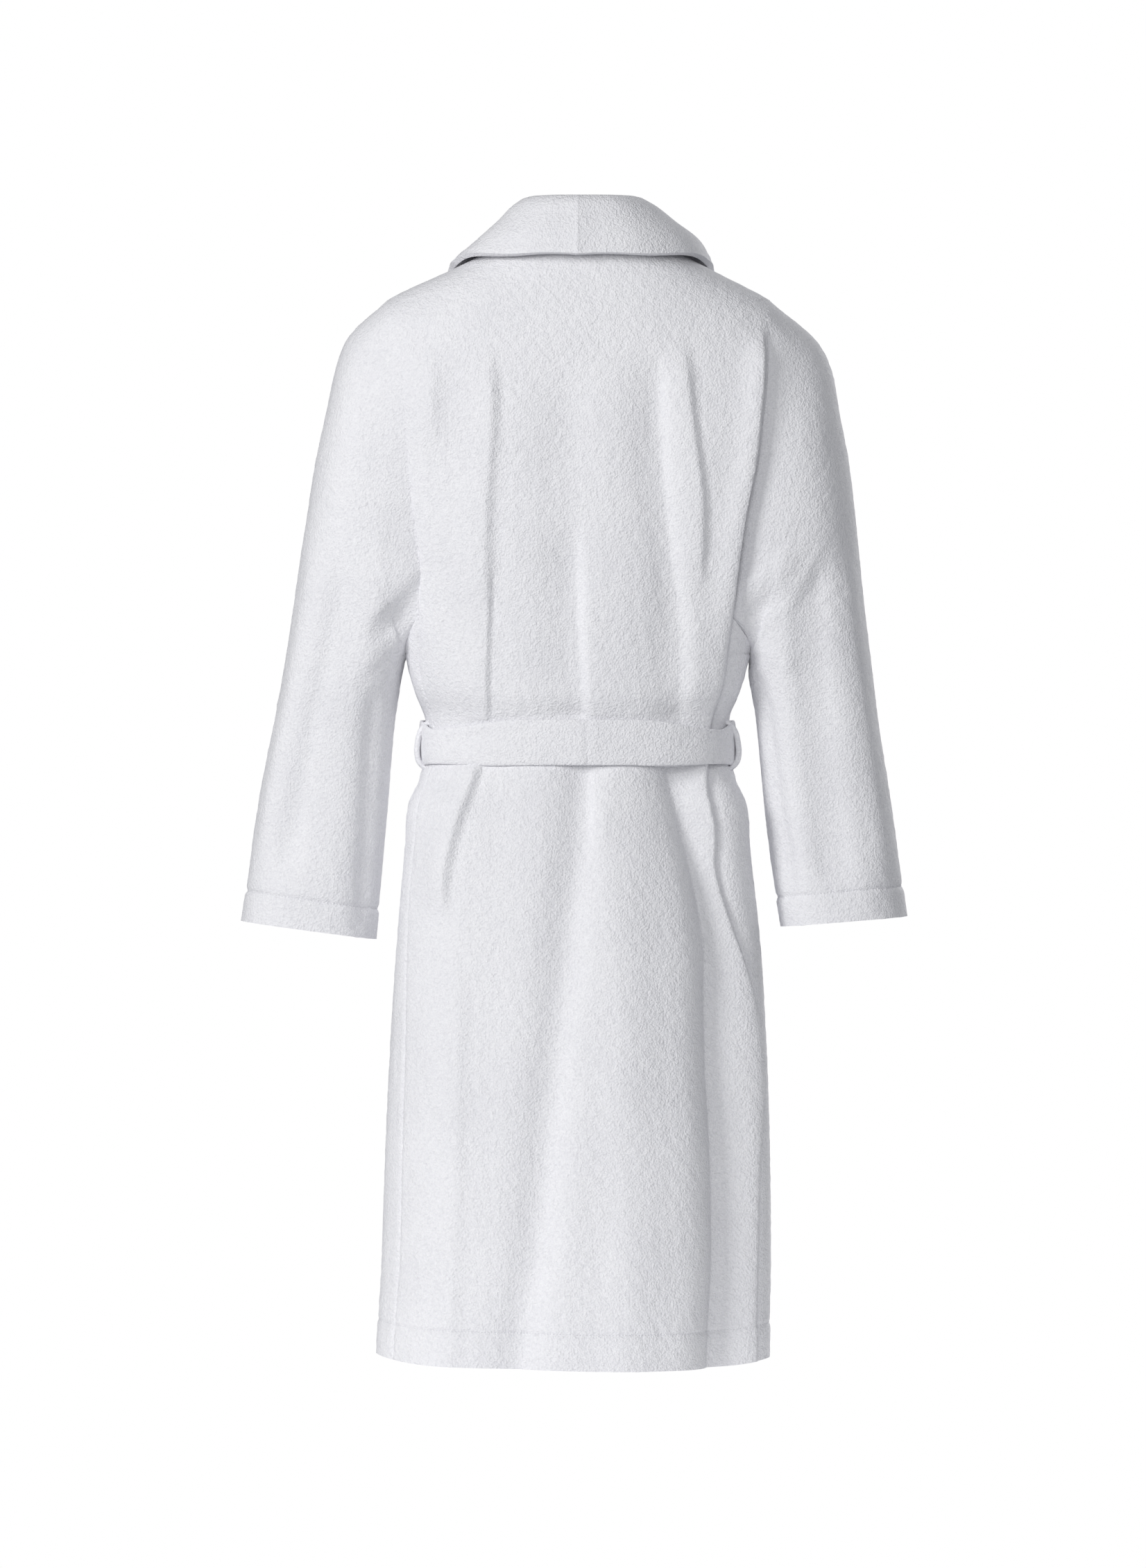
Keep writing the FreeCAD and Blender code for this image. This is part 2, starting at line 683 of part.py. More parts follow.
def main():
    os.makedirs("parts", exist_ok=True)
    nodes = {}
    inner_shell = body_shell(False).cut(neck_cutter())
    outer_shell = body_shell(True).cut(neck_cutter())
    armholes = [armhole_cutter(), mirrored(armhole_cutter())]
    hem_line = HEM_Z + HEM_DEPTH
    above_hem = slab(hem_line + SEAM_GAP / 2.0, TOP_Z)
    hem = slab(FOOT_Z, hem_line - SEAM_GAP / 2.0)
    left_area = left_front_area(EDGE_LEVELS[0], FOOT_Z)

    back = inner_shell.common(back_side(SEAM_GAP)).cut(armholes)
    nodes["back_panel"] = largest(back.common(above_hem))
    nodes["hem_band_back"] = largest(back.common(hem))

    front = back_side(-SEAM_GAP)
    right = inner_shell.common(front).cut(armholes)
    right = right.common(mirrored(left_area))
    nodes["front_panel_right"] = largest(right.common(above_hem))
    nodes["hem_band_right"] = largest(right.common(hem))

    left = outer_shell.common(front).cut(armholes).common(left_area)
    corner = left.common(flap_area(-CREASE_GAP / 2.0))
    fixed = left.cut(flap_area(CREASE_GAP / 2.0))
    nodes["front_panel_left"] = largest(fixed.common(above_hem))
    nodes["hem_band_left"] = largest(fixed.common(hem))
    nodes["front_flap_left"] = largest(corner.common(above_hem))
    nodes["hem_band_flap"] = largest(corner.common(hem))

    for name, is_right in (("left", False), ("right", True)):
        sleeve, cuff = sleeve_and_cuff(is_right)
        nodes["sleeve_" + name] = sleeve
        nodes["cuff_" + name] = cuff
        nodes["belt_loop_" + name] = belt_loop(is_right)
        nodes["belt_end_" + name] = belt_end(-1.0 if is_right else 1.0)
        nodes["collar_" + name] = collar_right() if is_right else collar_half()
        patch, band = pocket(False, not is_right), pocket(True, not is_right)
        nodes["pocket_" + name] = mirrored(patch) if is_right else patch
        nodes["pocket_band_" + name] = mirrored(band) if is_right else band

    nodes["collar_stand"] = collar_stand()
    nodes["neck_tape"] = neck_tape()
    nodes["hanger_loop"] = hanger_loop()
    nodes["neck_label"] = neck_label()
    nodes["care_label"] = care_label()
    nodes["belt_wrap"] = belt_wrap()
    nodes["belt_knot"] = belt_knot()
    for name, shape in nodes.items():
        save(name, shape)


main()
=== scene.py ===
import math
import bpy
import numpy as np
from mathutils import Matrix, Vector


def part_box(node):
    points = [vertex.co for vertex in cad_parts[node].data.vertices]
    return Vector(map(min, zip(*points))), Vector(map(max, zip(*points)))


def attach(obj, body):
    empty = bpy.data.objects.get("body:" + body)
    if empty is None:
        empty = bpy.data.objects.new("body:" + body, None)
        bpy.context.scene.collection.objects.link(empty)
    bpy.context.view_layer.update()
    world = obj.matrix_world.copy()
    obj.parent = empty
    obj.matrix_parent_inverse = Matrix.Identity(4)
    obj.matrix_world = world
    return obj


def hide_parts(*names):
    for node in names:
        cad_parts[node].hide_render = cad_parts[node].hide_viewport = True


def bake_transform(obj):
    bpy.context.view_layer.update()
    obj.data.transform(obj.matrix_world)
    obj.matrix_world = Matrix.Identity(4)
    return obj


# A white towelling bathrobe seen from behind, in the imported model's frame.
# Lengths are millimetres until a mesh is made, and metres in Blender.

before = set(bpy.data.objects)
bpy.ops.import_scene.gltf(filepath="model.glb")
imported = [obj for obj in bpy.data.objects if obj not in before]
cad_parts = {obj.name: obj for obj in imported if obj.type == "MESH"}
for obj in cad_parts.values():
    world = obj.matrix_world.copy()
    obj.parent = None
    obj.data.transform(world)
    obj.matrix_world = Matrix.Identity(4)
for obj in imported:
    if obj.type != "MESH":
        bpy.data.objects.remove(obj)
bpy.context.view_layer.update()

MM = 0.001
PER_METRE = 1000
SIDE = 3.3              # target length of a mesh face's side
CLOTH = 4               # thickness of the towelling
DOUBLE_CLOTH = 6.5
FINE_STEPS = 300        # round a body section, to measure along it
SQUARENESS = 2.4        # of the body's oval sections; 2 is an ellipse
POWER = 2 / SQUARENESS
BACK_COLUMNS = 196
FRONT_COLUMNS = 96
SIDE_COLUMNS = 26
SLEEVE_COLUMNS = 132
COLLAR_COLUMNS = 40
COLLAR_ROWS = 190
BELT_ROWS = 330
FACING_WIDTH = 34       # from a front's free edge to the stitching of its turned facing
SEAM_REACH = 3          # of a seam's dent into the cloth beside it
ROLL_FROM_EDGE = 7.5    # the crest of the rolled edge on the right of the back
NECK_DIP = 10           # the neck seam is lower at the shoulders than at the centre back
HEM_Z = -1183
HEM_LINE_Z = -1145      # stitching of the skirt's turned hem
CUFF_DEPTH = 32
LAP = 7.5               # how far the outer left front stands off the right one,
LAP_EDGE_X = 45         # fully up to here,
LAP_FADE_X = 115        # and not at all from here
ARM_TOP_Z = -70
ARM_PIT_Z = -440
UNDERARM_Z = -400       # the back's armhole seam turns into the side seam
BELT_Z = -530
BELT_WIDTH = 46
BELT_CLEARANCE = 1.4    # from the body's plain surface to the belt
UNDERLAP = 8            # a panel's hidden margin under its neighbour's edge

# Body sections: height, half width, front and back.
BODY = (
    (0, 62, -122, 1),
    (-10, 80, -127, 4),
    (-36, 131, -140, 12),
    (-69, 198, -152, 21),
    (-90, 229, -160, 26),
    (-120, 247, -170, 31),
    (-200, 235, -186, 37),
    (-330, 204, -200, 34),
    (-462, 173, -190, 16),
    (-483, 168, -188.5, 13.5),
    (-503, 160, -180, 6),
    (-530, 158, -178, 4),
    (-557, 160, -180, 6),
    (-590, 174, -189, 15),
    (-640, 179, -193, 24),
    (-800, 193, -204, 38),
    (-1000, 201, -211, 42),
    (-1183, 203, -215, 44),
)
# A front's free edge: height and x on the left half.
FRONT_EDGE = (
    (20, 80), (-60, 76), (-200, 60), (-330, 26), (-440, -14), (-505, -45),
)
ARMHOLE = ((ARM_TOP_Z, 200), (ARM_PIT_Z, 178))

# The back panel's two edges: height and distance from the centre.
BACK_LEFT = (
    (-70, 200), (-102, 196), (-150, 187), (-208, 180), (-250, 177),
    (-289, 172), (-334, 165), (-408, 161), (-463, 159), (-500, 154),
    (-530, 150), (-557, 153), (-590, 161), (-634, 165), (-721, 173),
    (-840, 176), (-952, 179), (-1093, 181), (-1183, 183),
)
BACK_RIGHT = (
    (-70, 200), (-111, 194), (-150, 189), (-185, 184), (-242, 177),
    (-289, 168), (-335, 162), (-390, 157), (-436, 152), (-481, 147),
    (-517, 140), (-557, 139), (-586, 141), (-618, 148), (-663, 155),
    (-702, 165), (-746, 176), (-799, 185), (-840, 189), (-1000, 192),
    (-1183, 193),
)

# Left sleeve: underarm point, outer point (x, z), centre y, half depth.
SLEEVE = (
    ((179, -441), (246, -114), -76, 84),
    ((180, -444), (270, -200), -79, 84),
    ((182, -452), (289, -318), -84, 80),
    ((186, -471), (304, -424), -88, 75),
    ((192.5, -512), (316, -496), -92, 70),
    ((200, -600), (332, -580), -96, 64),
    ((213.5, -736), (353.5, -717), -100, 62),
)
# The right sleeve's differences from the left one, mirrored.
RIGHT_INNER_SHIFT = (-1, -2, -3.5, -7, -7.5, -7, -2)
RIGHT_OUTER_SHIFT = (1, 1, 0, -2, -4, -7, -11)
RIGHT_CUFF_RISE = 12
SLEEVE_POWER = 0.8      # 1 would make a sleeve's section an ellipse

# Creases where a sleeve meets the side: start and end (x, z), height, reach above and below.
ARMPIT_CREASES = (
    (((168, -356), (212, -399), 6, 30, 7), ((176, -392), (206, -420), -4, 10, 12),
     ((184, -425), (222, -452), 3, 16, 9)),
    (((166, -372), (214, -345), 3, 9, 16), ((168, -402), (204, -384), -3.5, 9, 10),
     ((180, -432), (218, -452), 3, 14, 8)),
)
# Long folds of each sleeve: angle from the outer side towards the back, depth, width (radians),
# reach from the cuff, and lean.
SLEEVE_FOLDS = (
    ((1.35, 6, 0.24, 60, 430, 0.0006), (2.3, 5, 0.22, 0, 260, -0.0008),
     (0.75, -3, 0.25, 80, 400, 0.0002), (4.4, 6, 0.26, 40, 460, 0.0006),
     (5.4, 4, 0.25, 0, 300, -0.0004)),
    ((1.55, 6, 0.25, 30, 420, -0.0005), (2.45, 5, 0.24, 0, 300, 0.0007),
     (0.8, -3, 0.26, 60, 380, 0), (4.6, 6, 0.28, 20, 440, -0.0005),
     (5.5, 4, 0.24, 0, 320, 0.0005)),
)

# Shawl collar, centre back to shoulder: neck seam, stand, roll, outer edge.
COLLAR_BACK = (
    ((1, -6, 1), (1, -10, 22), (1, -4, 33.5), (1, 29, -27)),
    ((33, -12, 0), (29, -18, 22), (33, -11, 33.8), (67, 17, -26)),
    ((57, -26, -3), (48, -36, 21), (54, -33, 33.5), (112, -13, -26)),
    ((73, -62, -9), (57, -63, 17), (61, -61, 31), (131, -60, -30)),
    ((76, -97, -14), (64, -99, -2), (67, -101, 13), (137, -110, -38)),
)
# How far each of those bulges outwards at three heights, and upwards: left half, right half.
COLLAR_CROWN = (
    ((4, 5, 4, 4), (3.5, 4.5, 4, 3.5), (2.5, 2, 2, 2.5), (2, -1, -1, 0.5),
     (2, 2, 2, 1)),
    ((4, 5, 4, 4), (3.5, 5, 5, 3.5), (3, 6, 7, 2.5), (3.5, 8, 11, 1.5),
     (2, 4, 5, 1)),
)
COLLAR_SEAM_X = (2.4, -7.6) # how far each half reaches past its first row at the centre-back seam
# Down the front: height at the roll line, height and x of the outer edge.
LAPEL = (
    (-45, -96, 148),
    (-120, -165, 143),
    (-200, -240, 128),
    (-280, -310, 105),
    (-360, -380, 72),
    (-430, -440, 32),
    (-490, -494, -18),
)

# Folds of the back: path (height, x), depth, reach towards +X and -X, and length of the fade at its ends.
# A negative depth is a ridge.
BACK_FOLDS = (
    # upper back: each ridge falls away steeply on its -X side
    (((-115, 156), (-240, 155)), -3.6, 16, 10, 50),
    (((-115, 98), (-186, 95), (-278, 99), (-400, 98)), -5.6, 28, 7.5, 60),
    (((-330, 93), (-400, 93.5), (-560, 94.5)), -4.2, 26, 2.8, 50),
    (((-110, 22), (-200, 17), (-300, 11), (-420, 4)), 4.6, 34, 26, 80),
    (((-290, 9), (-400, 2), (-505, -3), (-560, -4)), 6.5, 34, 7, 60),
    (((-115, -74), (-237, -80), (-319, -90), (-391, -101), (-560, -105)),
     6, 24, 10, 60),
    (((-105, -102), (-212, -112), (-262, -119), (-385, -121)), -5.5, 20, 6, 60),
    # skirt
    (((-500, 98), (-558, 104), (-603, 119), (-649, 131), (-720, 139)),
     -8, 18, 4.5, 50),
    (((-540, -7), (-560, -8), (-610, -5), (-694, 7), (-804, 20), (-934, 33),
      (-1032, 41), (-1129, 54), (-1183, 60)), 10.5, 25, 20, 20),
    (((-540, -17), (-660, -19)), -4.5, 5, 16, 50),
    (((-500, -92), (-560, -98), (-610, -112), (-675, -132), (-740, -143), (-804, -144),
      (-869, -145), (-934, -150), (-1064, -155), (-1183, -154)), 38, 30, 34, 190),
    (((-690, -142), (-780, -145)), -4, 6, 10, 40),
    (((-720, 124), (-900, 126), (-1183, 128)), -3, 30, 9, 120),
    (((-640, -40), (-900, -46), (-1183, -52)), -4, 26, 26, 90),
)
FRONT_FOLDS = (
    (((-560, 96), (-800, 112), (-1183, 128)), 7, 22, 26, 60),
    (((-560, 20), (-800, 30), (-1183, 46)), 6, 28, 22, 60),
    (((-560, -70), (-800, -92), (-1183, -110)), 8, 24, 24, 60),
    (((-250, 120), (-400, 100), (-515, 80)), 6, 18, 22, 70),
    (((-250, -120), (-400, -100), (-515, -84)), 6, 22, 18, 70),
)

SHARP_DEPTH = 15        # a valley this deep comes to a crease at its bottom
DEEPENING = 150         # a fold with a longer fade than this deepens all the way down
FLAT_BACK = 9           # the back hangs flatter than an oval

# The robe's slight lean to one side: height and shift in x.
LEAN = (
    (-1183, 5), (-1140, 4), (-1060, 1), (-1000, 0), (-800, -0.5), (-400, 0.5), (-280, -3),
    (-200, -4), (-130, -3.5), (-90, 0.5), (-60, 0.5), (-36, -2.5), (0, -3), (60, -3.5),
)
HEM_RISE = 10           # of the hem's ends above its middle
PUFF = 2.4              # the cloth's swelling just below the belt


# ---- curves and sections ----

def smooth(t):
    """Rises from 0 to 1 as t does, level at both ends."""
    t = np.clip(t, 0, 1)
    return t * t * (3 - 2 * t)


def bell(off, reach):
    """1 in the middle, and next to nothing at twice the reach."""
    return np.exp(-(off / reach) ** 2)


def rounded(wave, power=POWER):
    """A sine or cosine, squared off for a rounded section."""
    return np.sign(wave) * np.abs(wave) ** power


def eased(rows, run, at, slope):
    """Numbers or points at new places along their run, eased from each to the next."""
    i = np.clip(np.searchsorted(run, at) - 1, 0, len(run) - 2)
    span = run[i + 1] - run[i]
    t = (at - run[i]) / span
    for _ in range(rows.ndim - 1):
        span, t = span[..., None], t[..., None]
    return ((2 * t ** 3 - 3 * t ** 2 + 1) * rows[i] + (t ** 3 - 2 * t ** 2 + t) * span * slope[i]
            + (3 * t ** 2 - 2 * t ** 3) * rows[i + 1] + (t ** 3 - t ** 2) * span * slope[i + 1])


def along(table, at, column=1):
    """A column of a table at the given places in its first column."""
    rows = np.array(sorted(table, key=lambda row: row[0]), dtype=float)
    place, value = rows[:, 0], rows[:, column]
    at = np.clip(np.asarray(at, dtype=float), place[0], place[-1])
    return eased(value, place, at, np.gradient(value, place))


def summed(steps):
    """The distance to each point from the first, from the steps between them."""
    return np.concatenate(([0], np.cumsum(steps)))


def run_of(points):
    return summed(np.linalg.norm(np.diff(points, axis=0), axis=1))


def spline(points, count):
    """Points spaced evenly along a smooth line through the given points."""
    points = np.asarray(points, dtype=float)
    run = run_of(points)
    return eased(points, run, np.linspace(0, run[-1], count), np.gradient(points, run, axis=0))


def oval(z):
    """Half width, centre y and half depth of the body at a height."""
    half, front, back = along(BODY, z, 1), along(BODY, z, 2), along(BODY, z, 3)
    return half, (front + back) / 2, (back - front) / 2


def depth_factor(x, half):
    """The section's depth at x as a share of its full depth."""
    ratio = np.minimum(0.9999, np.abs(x) / half)
    return (1 - ratio ** SQUARENESS) ** (1 / SQUARENESS)


def lap_shift(x):
    """How far the outer front stands forward at x."""
    return LAP * smooth((LAP_FADE_X - x) / (LAP_FADE_X - LAP_EDGE_X))


def front_y(x, z):
    """The outer front's surface."""
    half, centre, depth = oval(z)
    return centre - depth * depth_factor(x, half) - lap_shift(x)


def angle_at(x, z):
    """The angle on the back half of the body's section at which it reaches x."""
    ratio = np.clip(np.abs(x) / oval(z)[0], 0, 1) ** (1 / POWER)
    return np.arccos(np.sign(x) * ratio)


def round_body(angle, z):
    """x and y of the body's section at an angle, counted from +X towards the back."""
    half, centre, depth = oval(z)
    return half * rounded(np.cos(angle)), centre + depth * rounded(np.sin(angle))


def wrap_grid(levels, first, last, columns, neck=0):
    """Points round the body between two angles given for every level, evenly spaced along each level."""
    rows = []
    share = np.linspace(-1, 1, columns)
    for z, start, end in zip(levels, first, last):
        fine = np.linspace(start, end, FINE_STEPS)
        x, y = round_body(fine, z)
        run = summed(np.hypot(np.diff(x), np.diff(y)))
        angle = np.interp(np.linspace(0, run[-1], columns), run, fine)
        height = z - neck * share ** 2 * np.clip(1 + z / 60, 0, 1)
        x, y = round_body(angle, height)
        rows.append(np.stack([x, y, height * np.ones(columns)], axis=1))
    return np.array(rows)


# ---- folds and unevenness ----

def fold(x, z, path, depth, reach_left, reach_right, fade):
    """One fold's part of the cloth's distance from the body's plain surface."""
    low, high = min(p[0] for p in path), max(p[0] for p in path)
    off = x - along(path, z)
    reach = np.where(off > 0, reach_left, reach_right)
    end = smooth((z - low) / fade) * smooth((high - z) / fade)
    if low <= HEM_Z:
        end = smooth((high - z) / fade)
    if fade > DEEPENING:
        end = 0.35 * smooth((high - z) / 60) + 0.65 * end
    if depth < SHARP_DEPTH:
        return -depth * bell(off, reach) * end
    away = np.sqrt((off / reach) ** 2 + 0.004) - 0.063
    return -depth * np.exp(-np.where(off > 0, away * 1.25, away ** 2)) * end


waves = np.random.default_rng(7)
RIPPLES = [(waves.normal(size=3) * (1, 1, 0.6) / waves.uniform(26, 70), waves.uniform(0, 2 * math.pi))
           for _ in range(14)]
PILE_WAVES = []
for _ in range(36):
    turn = waves.normal(size=3)
    PILE_WAVES.append((turn / np.linalg.norm(turn) * 2 * math.pi / waves.uniform(7, 17),
                       waves.uniform(0, 2 * math.pi)))


def wave_sum(points, waves_used):
    total = np.zeros(points.shape[:-1])
    for direction, phase in waves_used:
        total = total + np.sin(points @ direction + phase)
    return total


def ripple(points, size):
    """Small unevenness of hanging cloth."""
    return size * wave_sum(points, RIPPLES) / math.sqrt(len(RIPPLES))


def pile(points, size=0.17):
    """The cloth's tufts, 7 to 17 mm apart."""
    return size * wave_sum(points, PILE_WAVES) / math.sqrt(len(PILE_WAVES) / 2)


def outwards(points):
    """Horizontal directions square to the body's surface."""
    half, centre, depth = oval(points[..., 2])
    across, deep = points[..., 0] / half, (points[..., 1] - centre) / depth
    out = np.stack([rounded(across, SQUARENESS - 1) / half, rounded(deep, SQUARENESS - 1) / depth,
                    np.zeros_like(across)], axis=-1)
    return out / np.maximum(np.linalg.norm(out, axis=-1, keepdims=True), 1e-9)


def drape(points):
    """How far the cloth stands off the body's plain surface."""
    x, y, z = points[..., 0], points[..., 1], points[..., 2]
    half, centre, depth = oval(z)
    facing = (y - centre) / depth
    behind, before = smooth((facing - 0.05) / 0.4), smooth((-facing - 0.05) / 0.4)
    amount = ripple(points, 0.8) * smooth((-z - 20) / 80) + pile(points)
    for table, faced in ((BACK_FOLDS, behind), (FRONT_FOLDS, before)):
        for path, *shape in table:
            amount = amount + faced * fold(x, z, path, *shape)
    flat_back = FLAT_BACK * smooth((np.abs(x) / half - 0.42) / 0.38) * behind * smooth((-z - 110) / 80)
    amount = amount + flat_back * (1 - np.exp(-((z - BELT_Z) / 52) ** 4))
    skirt = smooth((-z - 640) / 500)
    around = np.arctan2(y - centre, x)
    amount = amount + skirt * 2.5 * np.sin(around * 9 + 0.6) * (1 - 0.6 * behind)
    near_belt = np.exp(-((z - BELT_Z) / (BELT_WIDTH / 2 + 2)) ** 6)
    amount = amount * (1 - 0.7 * near_belt)
    puff = PUFF * bell(z - BELT_Z + 31, 9)
    return np.where(near_belt > 0.5, np.minimum(amount, 1.5), amount) + puff


def swell(points, amount):
    """Moves points of the body's surface outwards."""
    return points + outwards(points) * amount[..., None]


def hem_groove(z):
    """The dent of the hem's stitching, and the doubled cloth below it."""
    return -1.1 * bell(z - HEM_LINE_Z, 2.2) + 0.6 * smooth((HEM_LINE_Z - z) / 6)


def levels_from(top):
    """Heights of the rows down to the hem: close together over the shoulders and beside the stitching."""
    shoulder = np.arange(0, -120, -1.9)
    skirt = np.arange(-120, HEM_LINE_Z + 6, -SIDE)
    hem = np.concatenate((HEM_LINE_Z + np.array([4.5, 3, 1.8, 0.9, 0, -0.9, -1.8, -3, -4.5]),
                          np.linspace(HEM_LINE_Z - 7.5, HEM_Z, 11)))
    levels = np.concatenate((shoulder, skirt, hem))
    return np.concatenate(([top], levels[(levels < top - 0.5) & (levels > HEM_Z + 0.5)], [HEM_Z]))


# ---- meshes ----

def grid_faces(rows, columns, closed, offset):
    """Faces of a grid whose normals point outwards when columns run anticlockwise seen from above."""
    faces = []
    for i in range(rows - 1):
        for j in range(columns if closed else columns - 1):
            k = (j + 1) % columns
            faces.append((offset + i * columns + j, offset + (i + 1) * columns + j,
                          offset + (i + 1) * columns + k, offset + i * columns + k))
    return faces


def settle(obj):
    """Replaces an object's mesh with the result of its modifiers."""
    graph = bpy.context.evaluated_depsgraph_get()
    final = bpy.data.meshes.new_from_object(obj.evaluated_get(graph))
    obj.modifiers.clear()
    obj.data = final
    final.shade_smooth()


def hung(points):
    """The whole robe's slight lean to the wearer's left, and the hem's rise towards the sides."""
    points = np.array(points, dtype=float)
    low = smooth((-points[:, 2] - 1060) / 110)
    side = np.minimum(np.abs(points[:, 0]) / 206, 1)
    points[:, 2] += (3 + 3.5 * smooth((points[:, 0] + 60) / 200) + HEM_RISE * side ** 6) * low
    points[:, 0] += along(LEAN, points[:, 2])
    return points


def add_object(name, vertices, faces, material):
    """An object from points in millimetres, hung as the whole robe hangs."""
    mesh = bpy.data.meshes.new(name)
    mesh.from_pydata([tuple(v) for v in hung(vertices) * MM], [], faces)
    mesh.materials.append(material)
    obj = bpy.data.objects.new(name, mesh)
    bpy.context.scene.collection.objects.link(obj)
    return obj


def sheet_piece(name, grids, thickness, material, closed=False, offset=-1, keep=None):
    """A closed piece of cloth from one or more grids of points that share their edges."""
    vertices, faces = [], []
    for grid in grids:
        faces += grid_faces(grid.shape[0], grid.shape[1], closed, len(vertices))
        vertices += list(grid.reshape(-1, 3))
    if keep is not None:
        shown = keep(np.array(vertices))
        faces = [face for face in faces if all(shown[list(face)])]
    obj = add_object(name, vertices, faces, material)
    weld = obj.modifiers.new("weld", "WELD")
    weld.merge_threshold = 0.25 * MM
    thick = obj.modifiers.new("thick", "SOLIDIFY")
    thick.thickness = thickness * MM
    thick.offset = offset
    edge = obj.modifiers.new("edge", "BEVEL")
    edge.width = thickness * 0.36 * MM
    edge.segments = 3
    edge.limit_method = "ANGLE"
    edge.angle_limit = math.radians(55)
    settle(obj)
    return obj


def tube_piece(name, grid, material):
    """A closed piece from rings of points, shut at both ends."""
    rows, columns = grid.shape[0], grid.shape[1]
    faces = grid_faces(rows, columns, True, 0)
    faces.append(tuple(range(columns)))
    faces.append(tuple(range(rows * columns - 1, (rows - 1) * columns - 1, -1)))
    obj = add_object(name, grid.reshape(-1, 3), faces, material)
    obj.data.shade_smooth()
    return obj


def flipped(grid):
    """A grid mirrored to the other side, with its faces still outwards."""
    return grid[:, ::-1] * np.array([-1, 1, 1])


def normals_of(grid):
    """Unit directions square to a grid."""
    down, over = np.gradient(grid, axis=0), np.gradient(grid, axis=1)
    out = np.cross(down, over)
    return out / np.maximum(np.linalg.norm(out, axis=-1, keepdims=True), 1e-9)


# ---- materials ----

def node(tree, kind, inputs=(), **settings):
    """A shader node with its settings and its inputs' plain values."""
    made = tree.nodes.new("ShaderNode" + kind)
    for key, value in settings.items():
        setattr(made, key, value)
    for key, value in dict(inputs).items():
        made.inputs[key].default_value = value
    return made


def new_material(name, values):
    """A material with its shader's plain values set."""
    material = bpy.data.materials.new(name)
    material.use_nodes = True
    shader = material.node_tree.nodes["Principled BSDF"]
    for key, value in values.items():
        shader.inputs[key].default_value = value
    return material, material.node_tree, shader


def textures(tree, *wanted):
    """Texture nodes laid out on the object's own coordinates."""
    place = node(tree, "TexCoord")
    made = []
    for kind, inputs, settings in wanted:
        made.append(node(tree, "Tex" + kind, inputs, **settings))
        tree.links.new(place.outputs["Object"], made[-1].inputs["Vector"])
    return made


def scaled_sum(tree, value, factor, added):
    """value * factor + added."""
    made = node(tree, "Math", {1: factor}, operation="MULTIPLY_ADD")
    tree.links.new(value, made.inputs[0])
    tree.links.new(added, made.inputs[2])
    return made.outputs[0]


def finish_cloth(tree, shader, relief, bump, tint, colours, stops, grain, roughness):
    """Joins a relief to the shader's normal, a tint to its colour and a grain to its roughness."""
    link = tree.links.new
    raised = node(tree, "Bump", {"Strength": bump[0], "Distance": bump[1]})
    link(relief, raised.inputs["Height"])
    link(raised.outputs["Normal"], shader.inputs["Normal"])
    ramp = node(tree, "ValToRGB")
    for element, stop, colour in zip(ramp.color_ramp.elements, stops, colours):
        element.position = stop
        element.color = (*colour, 1)
    link(tint, ramp.inputs["Fac"])
    link(ramp.outputs["Color"], shader.inputs["Base Color"])
    rough = node(tree, "MapRange", {"To Min": roughness[0], "To Max": roughness[1]})
    link(grain, rough.inputs["Value"])
    link(rough.outputs["Result"], shader.inputs["Roughness"])


def towelling(name, light, shade, pile_height=1):
    """Terry cloth: loops about 2 mm across, gathered in tufts and clumps, worn in patches, and with painted
    shade in the hollows between the loops.
    """
    material, tree, shader = new_material(name, {"Sheen Weight": 0.12, "Specular IOR Level": 0.1})
    loops, tufts, clumps, patches = textures(
        tree,
        ("Voronoi", {"Scale": 480, "Smoothness": 0.4}, {"feature": "SMOOTH_F1"}),
        ("Noise", {"Scale": 280, "Detail": 3, "Roughness": 0.62}, {}),
        ("Noise", {"Scale": 100}, {}),
        ("Noise", {"Scale": 14}, {}))
    looped = scaled_sum(tree, loops.outputs["Distance"], -0.55, tufts.outputs["Fac"])
    relief = scaled_sum(tree, clumps.outputs["Fac"], 0.55, looped)
    # Colour: worn patches plus painted shade that darkens the hollows between the loops and tufts.
    wear_and_pile_shade = scaled_sum(tree, patches.outputs["Fac"], 0.5, looped)
    finish_cloth(tree, shader, relief, (0.7, 0.0018 * pile_height), wear_and_pile_shade, (shade, light), (0.2, 0.8),
                 tufts.outputs["Fac"], (0.82, 1))
    return material


def woven(name, light, shade, threads):
    """Flat woven tape, label or thread with a fine diagonal weave."""
    material, tree, shader = new_material(name, {"Specular IOR Level": 0.25, "Sheen Weight": 0.1})
    weave, fibres = textures(
        tree,
        ("Wave", {"Scale": threads, "Distortion": 0.6}, {"bands_direction": "DIAGONAL"}),
        ("Noise", {"Scale": 900}, {}))
    relief = scaled_sum(tree, weave.outputs["Fac"], 0.6, fibres.outputs["Fac"])
    finish_cloth(tree, shader, relief, (0.4, 0.0004), relief, (shade, light), (0, 1),
                 fibres.outputs["Fac"], (0.6, 0.85))
    return material


terry = towelling("terry_body", (0.88, 0.88, 0.905), (0.77, 0.77, 0.805))
terry_double = towelling("terry_double", (0.885, 0.885, 0.91), (0.78, 0.78, 0.815), 1.15)
tape = woven("cotton_tape", (0.82, 0.82, 0.85), (0.62, 0.62, 0.66), 700)
label_weave = woven("label_weave", (0.88, 0.88, 0.86), (0.74, 0.74, 0.73), 1200)
thread = woven("sewing_thread", (0.80, 0.80, 0.83), (0.60, 0.60, 0.64), 900)


# ---- camera, light and stage ----

